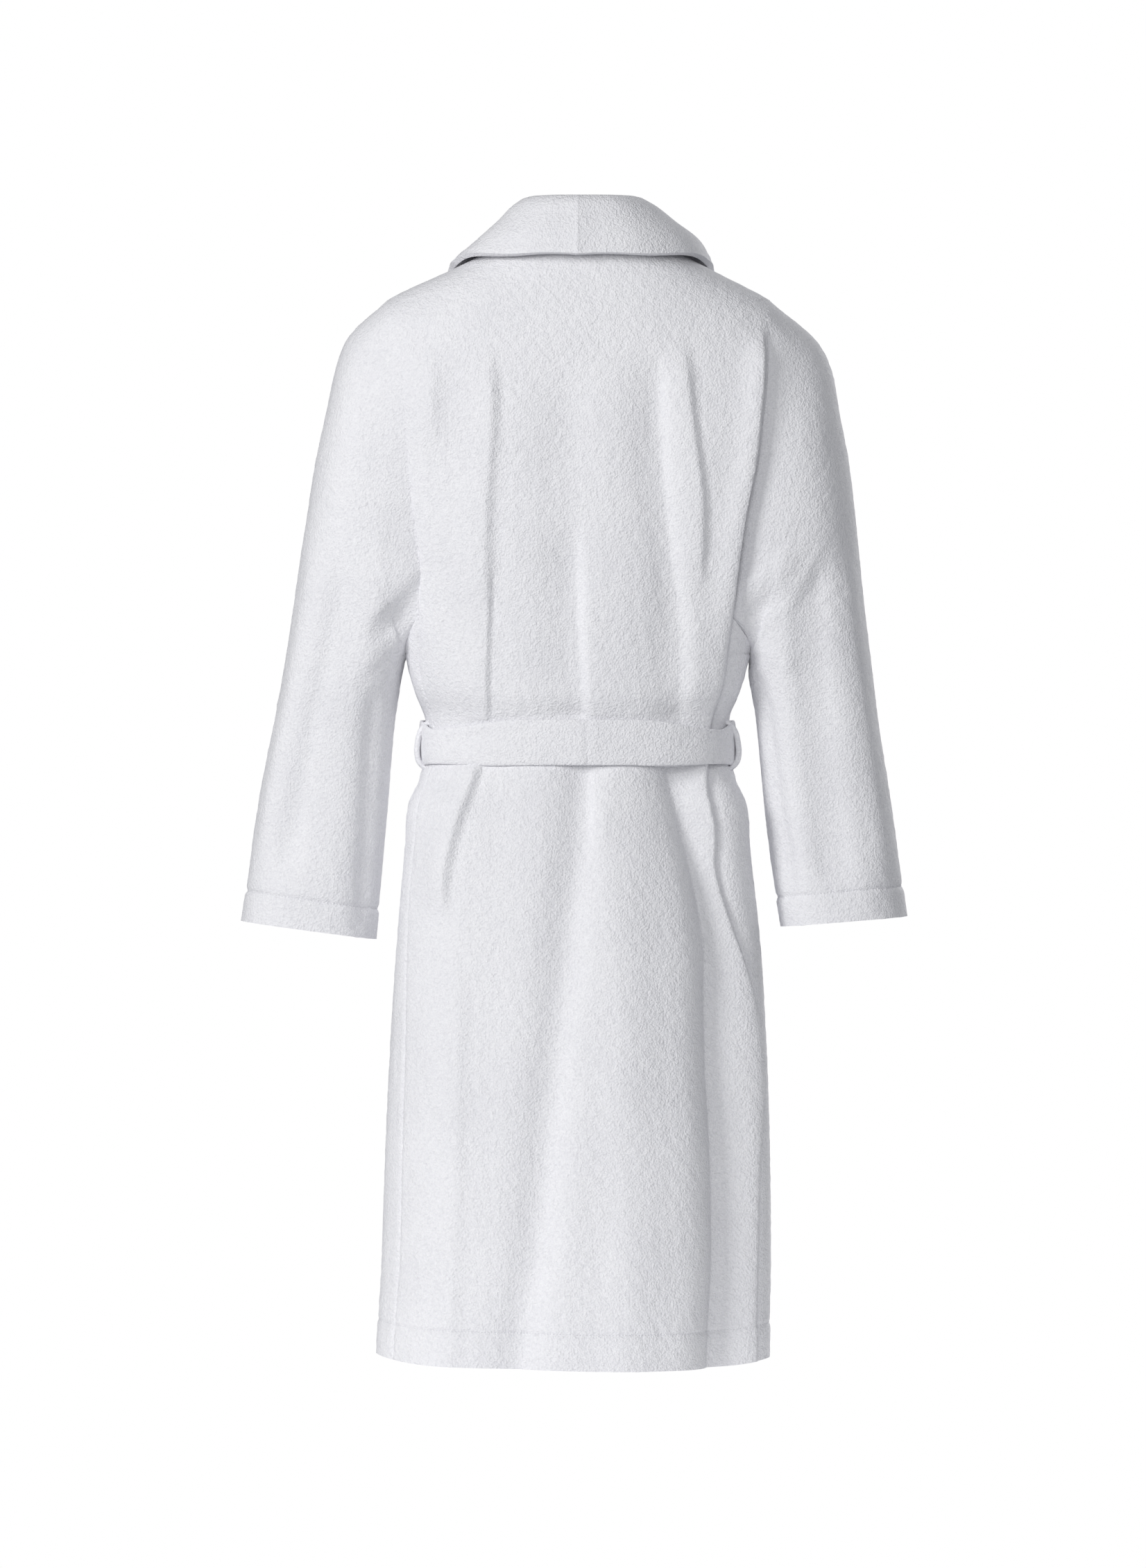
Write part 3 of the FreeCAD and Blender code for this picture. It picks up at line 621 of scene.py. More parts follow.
VIEW_HEIGHT = 1.631     # metres, at the robe
VIEW_DISTANCE = 9
SENSOR = 36             # the camera's default sensor
camera = bpy.data.objects.new("camera", bpy.data.cameras.new("camera"))
camera.data.lens = SENSOR * VIEW_DISTANCE / VIEW_HEIGHT
camera.location = (0.0065, VIEW_DISTANCE - 0.04, -0.574)
camera.rotation_euler = (math.radians(90), 0, math.radians(180))
bpy.context.scene.collection.objects.link(camera)
bpy.context.scene.camera = camera
bpy.context.scene.view_settings.view_transform = "Standard"


def area_light(name, place, target, width, height, watts):
    """A soft box turned towards a target."""
    data = bpy.data.lights.new(name, "AREA")
    data.shape = "RECTANGLE"
    data.size, data.size_y = width, height
    data.energy = watts
    data.color = (1, 0.995, 0.985)
    obj = bpy.data.objects.new(name, data)
    obj.location = place
    way = np.array(target) - np.array(place)
    flat = math.hypot(way[0], way[1])
    obj.rotation_euler = (math.atan2(flat, -way[2]), 0, math.atan2(-way[0], way[1]))
    bpy.context.scene.collection.objects.link(obj)


area_light("key", (2.8, 2.65, 0.7), (0, 0, -0.45), 1.3, 1.8, 90)
area_light("fill", (0, 4.2, 0.7), (0, 0, -0.45), 1.3, 1.8, 54)
area_light("front_key", (-2, -3.3, 0.6), (0, -0.1, -0.6), 2, 2.2, 100)


def build_world():
    """Dim even light from all round, in front of a white backdrop."""
    world = bpy.data.worlds.new("studio")
    bpy.context.scene.world = world
    world.use_nodes = True
    tree = world.node_tree
    sky = tree.nodes["Background"]
    sky.inputs["Color"].default_value = (0.94, 0.96, 1, 1)
    sky.inputs["Strength"].default_value = 0.26
    backdrop = node(tree, "Background", {"Color": (1, 1, 1, 1)})
    rays = node(tree, "LightPath")
    either = node(tree, "MixShader")
    tree.links.new(rays.outputs["Is Camera Ray"], either.inputs["Fac"])
    tree.links.new(sky.outputs["Background"], either.inputs[1])
    tree.links.new(backdrop.outputs["Background"], either.inputs[2])
    tree.links.new(either.outputs["Shader"], tree.nodes["World Output"].inputs["Surface"])


FLOOR_Z = -1.47
FLOOR_RADIUS = 0.88
FLOOR_SIDES = 128


def build_floor():
    """A pale round floor that glows more towards its rim, so that it runs into the backdrop."""
    turns = [2 * math.pi * k / FLOOR_SIDES for k in range(FLOOR_SIDES)]
    mesh = bpy.data.meshes.new("floor")
    mesh.from_pydata([(FLOOR_RADIUS * math.cos(a), FLOOR_RADIUS * math.sin(a), FLOOR_Z) for a in turns],
                     [], [tuple(range(FLOOR_SIDES))])
    pale = {"Base Color": (0.93, 0.93, 0.94, 1), "Roughness": 0.9}
    material, tree, shader = new_material("floor_paint", pale)
    place = node(tree, "TexCoord")
    reach = node(tree, "VectorMath", {1: (0, 0, FLOOR_Z)}, operation="DISTANCE")
    glow = node(tree, "MapRange",
                {"From Min": 0.45, "From Max": FLOOR_RADIUS - 0.03, "To Min": 0.2, "To Max": 0.6},
                interpolation_type="SMOOTHSTEP")
    tree.links.new(place.outputs["Object"], reach.inputs[0])
    tree.links.new(reach.outputs["Value"], glow.inputs["Value"])
    tree.links.new(glow.outputs["Result"], shader.inputs["Emission Strength"])
    mesh.materials.append(material)
    floor = bpy.data.objects.new("floor", mesh)
    bpy.context.scene.collection.objects.link(floor)


build_world()
build_floor()


# ---- where each piece rides, and which CAD parts it hides ----

def enter(obj, body, slot, *nodes):
    """The body that a piece rides on, its material slot (not used), and the CAD nodes that it replaces."""
    if body:
        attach(obj, body)
    if nodes:
        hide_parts(*nodes)


def outward_sign(side):
    return -1 if side == "right" else 1


def cad_corners(name):
    """The low and the high corner of a CAD node's box."""
    return (np.array(corner) * PER_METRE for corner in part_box(name))


# ---- body panels ----

def seam_roll(grid, edges):
    """Turns a grid's sewn edges in, so that two panels meet in a seam's dent."""
    step = np.linalg.norm(np.diff(grid, axis=1), axis=2)
    from_first = np.concatenate((np.zeros((len(grid), 1)), np.cumsum(step, axis=1)), axis=1)
    from_last = from_first[:, -1:] - from_first
    depth = 0.3 + 1.9 * smooth((-grid[..., 2] - 100) / 160)
    amount = np.zeros(grid.shape[:2])
    if "first" in edges:
        amount -= depth * bell(from_first, SEAM_REACH)
    if "last" in edges:
        amount -= depth * bell(from_last, SEAM_REACH)
    return amount, from_first, from_last


def build_back():
    """The back, whose right-hand edge lies rolled on the sleeve's."""
    levels = levels_from(0)
    left = np.where(levels > ARM_TOP_Z, 0, angle_at(along(BACK_LEFT, levels), levels))
    right = np.where(levels > ARM_TOP_Z, math.pi, angle_at(-along(BACK_RIGHT, levels), levels))
    grid = wrap_grid(levels, left, right, BACK_COLUMNS, NECK_DIP)
    amount = drape(grid) + hem_groove(grid[..., 2])
    dent, _, from_right = seam_roll(grid, ("first", "last"))
    z = grid[..., 2]
    lifted = smooth((-z - 95) / 40) * (9.5 - 5.5 * smooth((-z - 330) / 120))
    reach = np.where(from_right > ROLL_FROM_EDGE, 16, 3.6)
    amount += dent + lifted * bell(from_right - ROLL_FROM_EDGE, reach)
    grid = swell(grid, amount)
    obj = sheet_piece("back_cloth", [grid], CLOTH, terry)
    enter(obj, "robe", "terry_body", "back_panel", "hem_band_back")
    return levels, grid


def underarm_x(edge, z):
    """Where the sleeve's seam runs between the end of the back's armhole and the pit."""
    share = np.clip((UNDERARM_Z - z) / (UNDERARM_Z - ARM_PIT_Z), 0, 1)
    start = along(edge, UNDERARM_Z)
    return start + share * (along(ARMHOLE, ARM_PIT_Z) - start)


def front_grids(edge, right):
    """The front from its free edge to the armhole, and the part that runs under the arm to the side seam."""
    levels = levels_from(-14)
    levels = np.sort(np.unique(np.concatenate((levels, [UNDERARM_Z, ARM_PIT_Z]))))[::-1]
    free = -angle_at(along(FRONT_EDGE, levels), levels)
    arm = -angle_at(along(ARMHOLE, levels), levels)
    arm = np.where((levels > ARM_TOP_Z) | (levels < ARM_PIT_Z), 0, arm)
    main = wrap_grid(levels, free, arm, FRONT_COLUMNS)
    below = levels[levels <= UNDERARM_Z]
    start = np.where(below > ARM_PIT_Z, angle_at(underarm_x(edge, below), below), 0)
    end = angle_at(along(edge, below) - UNDERLAP, below)
    under = wrap_grid(below, start, np.maximum(end, start), SIDE_COLUMNS)
    made = []
    for part, edges in ((main, ("first",)), (under, ("last",))):
        if right:
            part = part * np.array([-1, 1, 1])
        amount = drape(part) + hem_groove(part[..., 2])
        if not right:
            _, centre, depth = oval(part[..., 2])
            facing = (part[..., 1] - centre) / depth
            part = part - np.stack([np.zeros_like(facing), lap_shift(part[..., 0]) * smooth(-4 * facing),
                                    np.zeros_like(facing)], axis=-1)
        dent, from_first, from_last = seam_roll(part, edges)
        if edges == ("first",):
            dent = -1.4 * bell(from_first - FACING_WIDTH, 2.4)
            dent = dent * smooth((-part[..., 2] - 505) / 20)
        elif right:
            dent = dent - 7 * bell(from_last, 16)
        else:
            dent = dent - 5 * (1 - smooth((from_last - UNDERLAP + 1) / 5.5))
        part = swell(part, amount + dent)
        made.append(part[:, ::-1] if right else part)
    return made


def build_fronts():
    """Both fronts: the left one lies outside."""
    made = {}
    flap = ("front_flap_left", "hem_band_flap")
    for side, edge, more in (("left", BACK_LEFT, flap), ("right", BACK_RIGHT, ())):
        right = side == "right"
        made[side] = front_grids(edge, right)
        obj = sheet_piece("front_" + side + "_cloth", made[side], CLOTH, terry)
        enter(obj, "robe" if right else None, "terry_body", "front_panel_" + side, "hem_band_" + side, *more)
        if not right:
            open_with_flap(obj)
    return made


def open_with_flap(obj):
    """Bakes a piece of the outer front's placement into its mesh."""
    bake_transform(obj)


# ---- sleeves ----

def sleeve_rows(edge, right):
    """Sections of a sleeve, as if it were a left one, from its seam to the cuff."""
    angle = 2 * math.pi * np.arange(SLEEVE_COLUMNS) / SLEEVE_COLUMNS
    middle, reach = (ARM_TOP_Z + ARM_PIT_Z) / 2, (ARM_TOP_Z - ARM_PIT_Z) / 2
    z = middle + reach * np.cos(angle)
    behind = np.where(z < UNDERARM_Z, underarm_x(edge, z), along(edge, z))
    x = np.where(np.sin(angle) > 0, behind, along(ARMHOLE, z))
    half, centre, depth = oval(z)
    y = centre + np.sign(np.sin(angle)) * depth * depth_factor(x, np.maximum(half, x + 0.05))
    first = np.stack([x, y, z], axis=1)
    sunk = 0.3 + 1.5 * smooth((-z - 100) / 120)
    hidden = swell(first, drape(first) - sunk - 4.4)
    hidden[:, 0] -= UNDERLAP
    sections = [hidden, swell(first, drape(first) - sunk)]
    for number, (inner, outer, centre_y, deep) in enumerate(SLEEVE):
        share = number / (len(SLEEVE) - 1)
        rise = RIGHT_CUFF_RISE * share ** 2 if right else 0
        inner_shift = RIGHT_INNER_SHIFT[number] if right else 0
        outer_shift = RIGHT_OUTER_SHIFT[number] if right else 0
        low = np.array([inner[0] + inner_shift, centre_y, inner[1] + 1.1 * rise])
        high = np.array([outer[0] + outer_shift, centre_y, outer[1] + 0.4 * rise])
        section = (high + low) / 2 + np.outer(rounded(np.cos(angle), SLEEVE_POWER), (high - low) / 2)
        section[:, 1] += deep * rounded(np.sin(angle), SLEEVE_POWER)
        sections.append(section)
    return np.array(sections), angle


def sleeve_relief(points, turn, to_cuff, from_seam, right):
    """How far a sleeve's cloth stands off its plain surface: folds, the cuff's stitching and pile."""
    fade = smooth(from_seam / 60) * smooth(to_cuff / 120 + 0.35)
    amount = ripple(points, 1.1) * fade
    for centre, depth, width, low, high, lean in SLEEVE_FOLDS[right]:
        place = centre + lean * (to_cuff - (low + high) / 2)
        off = np.angle(np.exp(1j * (turn - place)))
        reach = smooth((to_cuff - low) / 60 + 0.5) * smooth((high - to_cuff) / 60 + 0.5)
        amount = amount - depth * bell(off, width) * reach * fade
    stitched = 1.7 * bell(to_cuff - CUFF_DEPTH, 2.2)
    amount = amount - stitched + 0.9 * smooth((CUFF_DEPTH - to_cuff) / 6)
    return amount + pile(points) * smooth(from_seam / 12)


def armpit_lift(grid, right):
    """How far the creases beside the armpit move a sleeve's points backwards."""
    total = 0
    for start, end, height, above, below in ARMPIT_CREASES[right]:
        start, end = np.array(start), np.array(end)
        length = np.linalg.norm(end - start)
        ahead = (end - start) / length
        off = grid[..., ::2] - start
        share = (off @ ahead) / length
        aside = off @ np.array([-ahead[1], ahead[0]])
        reach = np.where(aside > 0, above, below)
        ends = smooth((share + 0.35) / 0.5) * smooth((1.35 - share) / 0.5)
        total = total + height * bell(aside, reach) * ends
    return total


def sleeve_grid(edge, right):
    sections, angle = sleeve_rows(edge, right)
    gaps = np.linalg.norm(np.diff(sections, axis=0), axis=2).max(axis=1)
    run = summed(gaps)
    at = np.linspace(0, run[-1], int(run[-1] / SIDE))
    at = np.sort(np.concatenate((at, run[-1] - CUFF_DEPTH + np.array([-1.6, -0.8, 0, 0.8, 1.6]))))
    slope = np.gradient(sections, run, axis=0)
    slope[1] = (sections[2] - sections[1]) / gaps[1]
    grid = eased(sections, run, at, slope)
    to_cuff = (run[-1] - at)[:, None]
    turn = angle[None, :]
    from_seam = np.maximum(np.linalg.norm(grid - grid[0], axis=2) - UNDERLAP, 0)
    mirrored = grid * np.array([-1 if right else 1, 1, 1])
    amount = sleeve_relief(mirrored, turn, to_cuff, from_seam, right)
    grid = grid + normals_of(np.concatenate((grid, grid[:, :1]), axis=1))[:, :-1] * amount[..., None]
    behind = smooth(3 * np.sin(turn))
    if right:
        beside = bell(from_seam, 9) * smooth((-grid[..., 2] - 95) / 40)
        grid[..., 1] -= 4.5 * beside * behind
    grid[..., 1] += armpit_lift(grid, right) * behind
    return grid, to_cuff[:, 0]


def build_sleeve(side):
    right = side == "right"
    grid, to_cuff = sleeve_grid(BACK_RIGHT if right else BACK_LEFT, right)
    if right:
        grid = flipped(grid)
    obj = sheet_piece("sleeve_" + side + "_cloth", [grid], CLOTH, terry, closed=True)
    enter(obj, None, "terry_body", "sleeve_" + side, "cuff_" + side)
    lift_with_sleeve(obj)
    return grid, to_cuff


def lift_with_sleeve(obj):
    """Bakes a sleeve piece's placement into its mesh."""
    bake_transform(obj)


# ---- collar ----

def collar_grid(right):
    """Half the collar, as if it were the left one: across the back, then down the front as a lapel."""
    rows = []
    for number, (back_row, crown) in enumerate(zip(COLLAR_BACK, COLLAR_CROWN[right])):
        shift = 0 if number else COLLAR_SEAM_X[right]
        seam, stand, roll, edge = (np.array(point) + (shift, 0, 0) for point in back_row)
        out = edge - roll
        flat = np.array([out[0], out[1] + 1e-6, 0])
        flat = flat / np.linalg.norm(flat)
        bulges = [roll + share * out + flat * crown[k] + (0, 0, lifted * crown[3])
                  for k, (share, lifted) in enumerate(((0.12, 1), (0.42, 1), (0.72, 0.6)))]
        rows.append(spline([seam, stand, roll, *bulges, edge], COLLAR_COLUMNS))
    for roll_z, edge_z, outer_x in LAPEL:
        edge_x = float(along(FRONT_EDGE, roll_z))
        facing_x = edge_x + 34
        seam = (facing_x, float(front_y(facing_x, roll_z)) + 8, roll_z)
        stand = (edge_x + 8, float(front_y(edge_x, roll_z)) + 6.5, roll_z)
        roll = (edge_x - 5, float(front_y(edge_x, roll_z)) - 2, roll_z)
        points = [seam, stand, roll]
        for share, lift in ((0.12, 9.5), (0.55, 11.5), (1, 9)):
            x = edge_x + share * (outer_x - edge_x)
            z = roll_z + share * (edge_z - roll_z)
            points.append((x, float(front_y(x, z)) - lift, z))
        rows.append(spline(points, COLLAR_COLUMNS))
    rows = np.array(rows)
    grid = np.stack([spline(rows[:, j], COLLAR_ROWS) for j in range(COLLAR_COLUMNS)], axis=1)
    share = np.linspace(0, 1, grid.shape[1])[None, :]
    amount = ripple(grid * (-1 if right else 1, 1, 1), 0.9) * smooth((share - 0.2) / 0.3)
    amount = amount - 0.9 * bell(share - 0.955, 0.012)
    edge_wave = 1.6 * np.sin(np.linspace(0, 46, grid.shape[0]))[:, None] * smooth((share - 0.8) / 0.2)
    grid = grid - normals_of(grid) * amount[..., None]
    grid[..., 2] += edge_wave * 0.6
    return grid


def clear_of_left_front(points):
    """Which points of the right lapel don't lie hidden under the left front."""
    left_edge = along(FRONT_EDGE, points[:, 2])
    return ~((points[:, 2] < -250) & (points[:, 0] > left_edge + 1))


def build_collar(side):
    right = side == "right"
    grid = collar_grid(right)
    if right:
        grid = flipped(grid)
    obj = sheet_piece("collar_" + side + "_cloth", [grid[:, ::-1]], DOUBLE_CLOTH, terry_double, offset=0,
                      keep=clear_of_left_front if right else None)
    enter(obj, "robe", "terry_double", "collar_" + side, *(() if right else ("collar_stand",)))


# ---- belt ----

def ribbon(path, across, width, thickness, corner, count, wear=0.5):
    """Rings of a flat band's rounded section along a path."""
    across = np.broadcast_to(np.asarray(across, dtype=float), path.shape)
    across = across / np.linalg.norm(across, axis=1, keepdims=True)
    ahead = np.gradient(path, axis=0)
    ahead = ahead / np.linalg.norm(ahead, axis=1, keepdims=True)
    out = np.cross(ahead, across)
    turn = 2 * math.pi * np.arange(count) / count
    wide, deep = rounded(np.cos(turn), 2 / corner), rounded(np.sin(turn), 2 / corner)
    width = np.broadcast_to(width, (len(path),))
    thickness = np.broadcast_to(thickness, (len(path),))
    grid = (path[:, None] + across[:, None] * (wide[None, :, None] * width[:, None, None] / 2)
            + out[:, None] * (deep[None, :, None] * thickness[:, None, None] / 2))
    sway = ripple(grid * 2.2, wear)
    return grid + out[:, None] * sway[..., None]


def belt_path():
    """The belt's middle line round the waist, and how far each point of it is behind."""
    half, centre, depth = (float(v) for v in oval(BELT_Z))
    offset = BELT_CLEARANCE + 3.2
    reach = half + offset
    first = -math.acos(-(72 / reach) ** (1 / POWER))
    last = 2 * math.pi - math.acos(-(118 / reach) ** (1 / POWER))
    angle = np.linspace(first, last, 700)
    sin = np.sin(angle)
    x = reach * rounded(np.cos(angle))
    y = centre + (depth + offset) * rounded(sin)
    lap = np.where(x > -LAP_EDGE_X, lap_shift(x), LAP) * smooth((x + 150) / 80)
    y = np.where(sin < 0, y - lap, y)
    run = summed(np.hypot(np.diff(x), np.diff(y)))
    at = np.linspace(0, run[-1], BELT_ROWS)
    x, y, sin = np.interp(at, run, x), np.interp(at, run, y), np.interp(at, run, sin)
    behind = smooth(sin * 2)
    z = BELT_Z - 1 - behind * 4.5 * smooth((np.abs(x) - 50) / 105)
    return np.stack([x, y, z], axis=1), behind


def build_belt():
    path, behind = belt_path()
    x = path[:, 0]
    width = BELT_WIDTH + 1.5 - behind * 12 * smooth((np.abs(x) - 70) / 85)
    grid = ribbon(path, (0, 0, 1), width, DOUBLE_CLOTH, 3.2, 30)
    z, gx = grid[..., 2], grid[..., 0]
    out = outwards(grid)
    back = behind[:, None]
    line = BELT_Z + 3 + 7 * smooth((150 - gx) / 80)
    crease = 1.6 * bell(z - line, 3.5) * smooth((gx - 40) / 50) * back
    join = 0.9 * bell(gx + 10, 2.5) * back
    pinch = 1.2 * bell(z - BELT_Z - 4, 5) * smooth((-gx - 70) / 60) * back
    grid = grid - out * (crease + join + pinch)[..., None]
    obj = tube_piece("belt_cloth", grid, terry_double)
    enter(obj, "robe", "terry_double", "belt_wrap")


def build_knot():
    """One turn of the belt wrapped round a core that lies across it."""
    low, high = cad_corners("belt_knot")
    centre = (low + high) / 2
    turn = np.linspace(0, 2 * math.pi, 90)
    wrap = np.stack([centre[0] + 5 * np.sin(turn), centre[1] - 9.5 * rounded(np.cos(turn), 0.8),
                     centre[2] + 19.5 * rounded(np.sin(turn), 0.8)], axis=1)
    grid = ribbon(wrap, (1, 0, 0.16), 38 + 5 * np.cos(2 * turn), 7.5, 3, 24, 0.9)
    turns = tube_piece("belt_knot_wrap", grid, terry_double)
    core_line = np.array([(-24, 4, 3), (-12, -1, 1), (0, -3, 0), (12, -1, -1), (24, 4, -2)])
    core_path = spline(core_line + centre, 40)
    share = np.linspace(-1, 1, len(core_path))
    core = ribbon(core_path, (0.05, 0.1, 1), 30 + 14 * share ** 2, 13 - 4 * share ** 2, 3, 24, 0.8)
    core_piece = tube_piece("belt_knot_core", core, terry_double)
    enter(turns, "robe", "terry_double", "belt_knot")
    enter(core_piece, "robe", "terry_double")


def build_belt_end(side):
    """A free end: forwards off the knot, then down to its turned and stitched tip."""
    name = "belt_end_" + side
    low, high = cad_corners(name)
    sign = outward_sign(side)
    x = (low[0] + high[0]) / 2
    top, bottom = high[2] - 0.5, low[2] + 1
    down = np.linspace(0, 1, 120)
    length = top - bottom
    forward = 25 * smooth(down * length / 100) + 0.02 * down * length
    sway = sign * 1.5 * np.sin(down * 7 + 0.5) * down
    wave = 1.6 * np.sin(down * 9 + sign) * down
    path = np.stack([x + sway, high[1] - 3.6 - forward + wave, top - down * length], axis=1)
    across = np.stack([np.ones(len(down)), 0.10 * np.sin(down * 6 + sign), np.zeros(len(down))], axis=1)
    gathered = bell(down, 0.05)
    width = 38.5 * (1 - 0.22 * gathered)
    thick = 6 + 2.5 * gathered - 3 * smooth((down - 0.985) / 0.015)
    grid = ribbon(path, across, width, thick, 3.4, 28)
    ridge = bell(down[:, None] * length - (length - 14), 1.8) * 0.9
    grid[..., 1] += np.sign(path[:, None, 1] - grid[..., 1]) * ridge
    obj = tube_piece(name + "_cloth", grid[:, ::-1], terry_double)
    enter(obj, name, "terry_double", name)


# A belt loop's line: x on the left half, and height above the belt's middle.
BELT_LOOP = (
    (150, 22), (158, 18), (163.5, 11), (166.6, 0), (167.6, -12), (166, -20), (160, -26.5), (150, -29),
)


def build_belt_loop(side):
    name = "belt_loop_" + side
    low, high = cad_corners(name)
    sign = outward_sign(side)
    y = (low[1] + high[1]) / 2
    path = spline([(sign * across, y, BELT_Z + rise) for across, rise in BELT_LOOP], 70)
    grid = ribbon(path, (0, 1, 0), 15, 6.4, 2.6, 20, 0.3)
    obj = tube_piece(name + "_cloth", grid if right_handed(grid) else grid[:, ::-1], terry_double)
    enter(obj, "robe", "terry_double", name)


def right_handed(grid):
    """Whether a tube's faces would point outwards."""
    centre = grid.mean(axis=1, keepdims=True)
    out = normals_of(grid)
    return float(((grid - centre) * out).sum(axis=2).mean()) > 0


# ---- pockets ----

def off_front(x, z, lift, outer_layer):
    """Points at a distance off a front's surface, and the directions square to it."""
    half, centre, depth = oval(z)
    slope = (depth_factor(x + 1, half) - depth_factor(x - 1, half)) * depth / 2
    out = np.stack([-slope, -np.ones_like(slope), np.zeros_like(slope)], axis=-1)
    out = out / np.linalg.norm(out, axis=-1, keepdims=True)
    shift = lap_shift(x) if outer_layer else 0
    base = np.stack([x, centre - depth * depth_factor(x, half) - shift, z], axis=-1)
    return base + out * lift[..., None], out


POCKET_X = (68, 168)
POCKET_BAND = 27        # the mouth's turned and stitched band


def build_pocket(side):
    low, high = cad_corners("pocket_" + side)
    (x0, x1), z0, z1 = POCKET_X, low[2], high[2]
    left = side == "left"
    x, z = np.meshgrid(np.linspace(x0, x1, 44), np.linspace(z1, z0, 70))
    across, height = (x - x0) / (x1 - x0), (z - z0) / (z1 - z0)
    bulge = 14 * np.sin(math.pi * np.clip(across, 0, 1)) ** 0.7 * smooth(height * 2.2)
    lift = 3.2 + bulge * (0.35 + 0.65 * height)
    edge = np.minimum(np.minimum(x - x0, x1 - x), z - z0)
    lift = lift - 1.2 * bell(edge - 6, 1.8) - 1.4 * bell(edge, 2.4)
    band = z1 - z
    lift = lift - 1.3 * bell(band - POCKET_BAND, 2) + 1.6 * smooth((POCKET_BAND - band) / 5)
    grid, out = off_front(x, z, lift, left)
    amount = drape(grid * (outward_sign(side), 1, 1)) + ripple(grid * 1.5, 0.6)
    grid = grid + out * amount[..., None]
    grid = grid if left else flipped(grid)
    obj = sheet_piece("pocket_" + side + "_cloth", [grid], 3.2, terry)
    enter(obj, "robe", "terry_body", "pocket_" + side, "pocket_band_" + side)


# ---- small parts inside the neck and the side seam ----

def small_sheet(name, points, thickness, material, body, cad_node, slot):
    grid = np.stack(np.broadcast_arrays(*points), axis=-1)
    obj = sheet_piece(name, [grid], thickness, material, offset=0)
    enter(obj, body, slot, cad_node)


def build_hanger_loop():
    share = np.linspace(0, 1, 60)[:, None]
    side = np.linspace(-1, 1, 5)[None, :]
    x = (share - 0.5) * 50
    z = -4 - 30 * (1 - (2 * share - 1) ** 4)
    y = -16 + side * 3.5 + 0.8 * np.sin(share * 9)
    small_sheet("hanger_loop_tape", (x, y, z), 1.6, tape, "hanger_loop", "hanger_loop", "cotton_tape")


def build_neck_tape():
    angle = np.radians(np.linspace(-54, 54, 60))[:, None]
    height = np.linspace(-13, -5, 5)[None, :]
    x = 73 * np.sin(angle)
    y = -62 + 55.5 * np.cos(angle)
    z = height - 8 * (1 - np.cos(angle))
    small_sheet("neck_tape_weave", (x, y, z), 1.4, tape, "robe", "neck_tape", "cotton_tape")


def build_neck_label():
    low, high = cad_corners("neck_label")
    x, z = np.meshgrid(np.linspace(low[0], high[0], 30), np.linspace(high[2], low[2], 18))
    half, centre, depth = oval(z)
    y = centre + depth * depth_factor(x, half) - CLOTH - 2.4 + 0.5 * np.sin(x / 9)
    small_sheet("neck_label_weave", (x, y, z), 0.9, label_weave, "robe", "neck_label", "label_weave")


def build_care_label():
    low, high = cad_corners("care_label")
    y, z = np.meshgrid(np.linspace(low[1], high[1], 14), np.linspace(high[2], low[2], 28))
    x = (low[0] + high[0]) / 2 + (z - z.mean()) / (high[2] - low[2]) * -6 + 0.8 * np.sin(z / 8)
    small_sheet("care_label_weave", (x, y, z), 0.9, label_weave, "robe", "care_label", "label_weave")


# ---- stitching ----

# Rings of one stitch: share of its length, share of the thread's radius, height off the cloth.
STITCH_RINGS = ((0, 0.45, -0.25), (0.3, 1, 0.2), (0.7, 1, 0.2), (1, 0.45, -0.25))
STITCH_SIDES = 6


def stitch_faces(base):
    """Faces of one stitch whose first point has the number base."""
    sides = STITCH_SIDES
    last = base + sides * (len(STITCH_RINGS) - 1)
    faces = []
    for ring in range(base, last, sides):
        for j in range(sides):
            n = (j + 1) % sides
            faces.append((ring + j, ring + n, ring + sides + n, ring + sides + j))
    faces.append(tuple(base + j for j in range(sides - 1, -1, -1)))
    faces.append(tuple(last + j for j in range(sides)))
    return faces


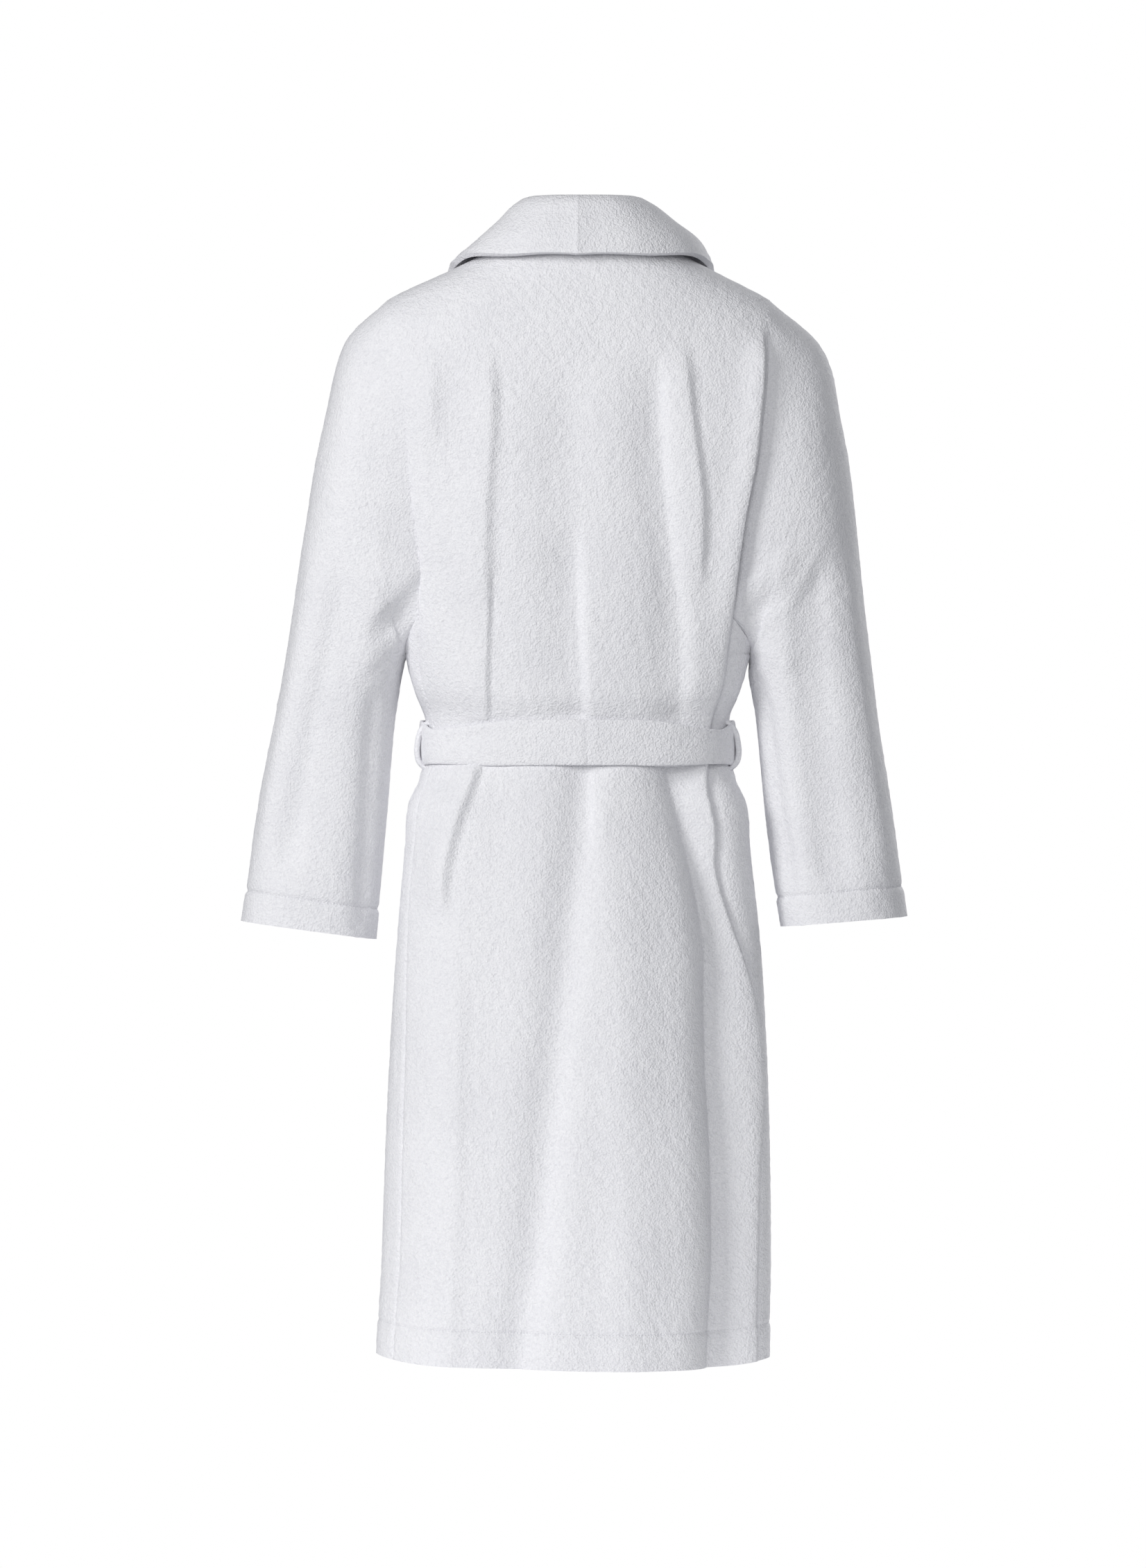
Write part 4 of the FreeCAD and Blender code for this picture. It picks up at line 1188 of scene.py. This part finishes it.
def stitches(name, lines, pitch=3.4, length=2.5, radius=0.4):
    """Threads laid in short stitches along lines of points with their outward directions."""
    vertices, faces = [], []
    turn = 2 * math.pi * np.arange(STITCH_SIDES) / STITCH_SIDES
    for points, out in lines:
        run = run_of(points)
        for k in range(int(run[-1] / pitch)):
            middle = (k + 0.5) * pitch
            start, end = (np.array([np.interp(middle + s * length / 2, run, column) for column in points.T])
                          for s in (-1, 1))
            up = np.array([np.interp(middle, run, column) for column in out.T])
            ahead = end - start
            size = np.linalg.norm(ahead)
            if size < 0.2:
                continue
            sideways = np.cross(ahead / size, up)
            sideways = sideways / np.linalg.norm(sideways)
            faces += stitch_faces(len(vertices))
            for share, scale, lift in STITCH_RINGS:
                centre = start + ahead * share + up * lift
                for a in turn:
                    vertices.append(centre + radius * scale * (math.cos(a) * sideways + math.sin(a) * up))
    obj = add_object(name, vertices, faces, thread)
    obj.data.shade_smooth()
    return obj


def grid_line(grid, values, target):
    """The row of a grid whose value is nearest the target, and the directions square to it."""
    row = int(np.argmin(np.abs(values - target)))
    return grid[row], normals_of(grid)[row]


def hem_line(grid):
    return grid_line(grid, grid[:, 0, 2], HEM_LINE_Z)


back_levels, back_grid = build_back()
fronts = build_fronts()
sleeves = {side: build_sleeve(side) for side in ("left", "right")}
for side in ("left", "right"):
    build_collar(side)
build_belt()
build_knot()
for side in ("left", "right"):
    build_belt_end(side)
    build_belt_loop(side)
for side in ("left", "right"):
    build_pocket(side)
build_hanger_loop()
build_neck_tape()
build_neck_label()
build_care_label()

hem_lines = [grid_line(back_grid, back_levels, HEM_LINE_Z)] + [hem_line(grid) for grid in fronts["right"]]
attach(stitches("hem_stitching", hem_lines), "robe")
open_with_flap(stitches("hem_stitching_left", [hem_line(grid) for grid in fronts["left"]]))
for side, (grid, to_cuff) in sleeves.items():
    ring = grid_line(np.concatenate((grid, grid[:, :1]), axis=1), to_cuff, CUFF_DEPTH)
    lift_with_sleeve(stitches("cuff_stitching_" + side, [ring]))
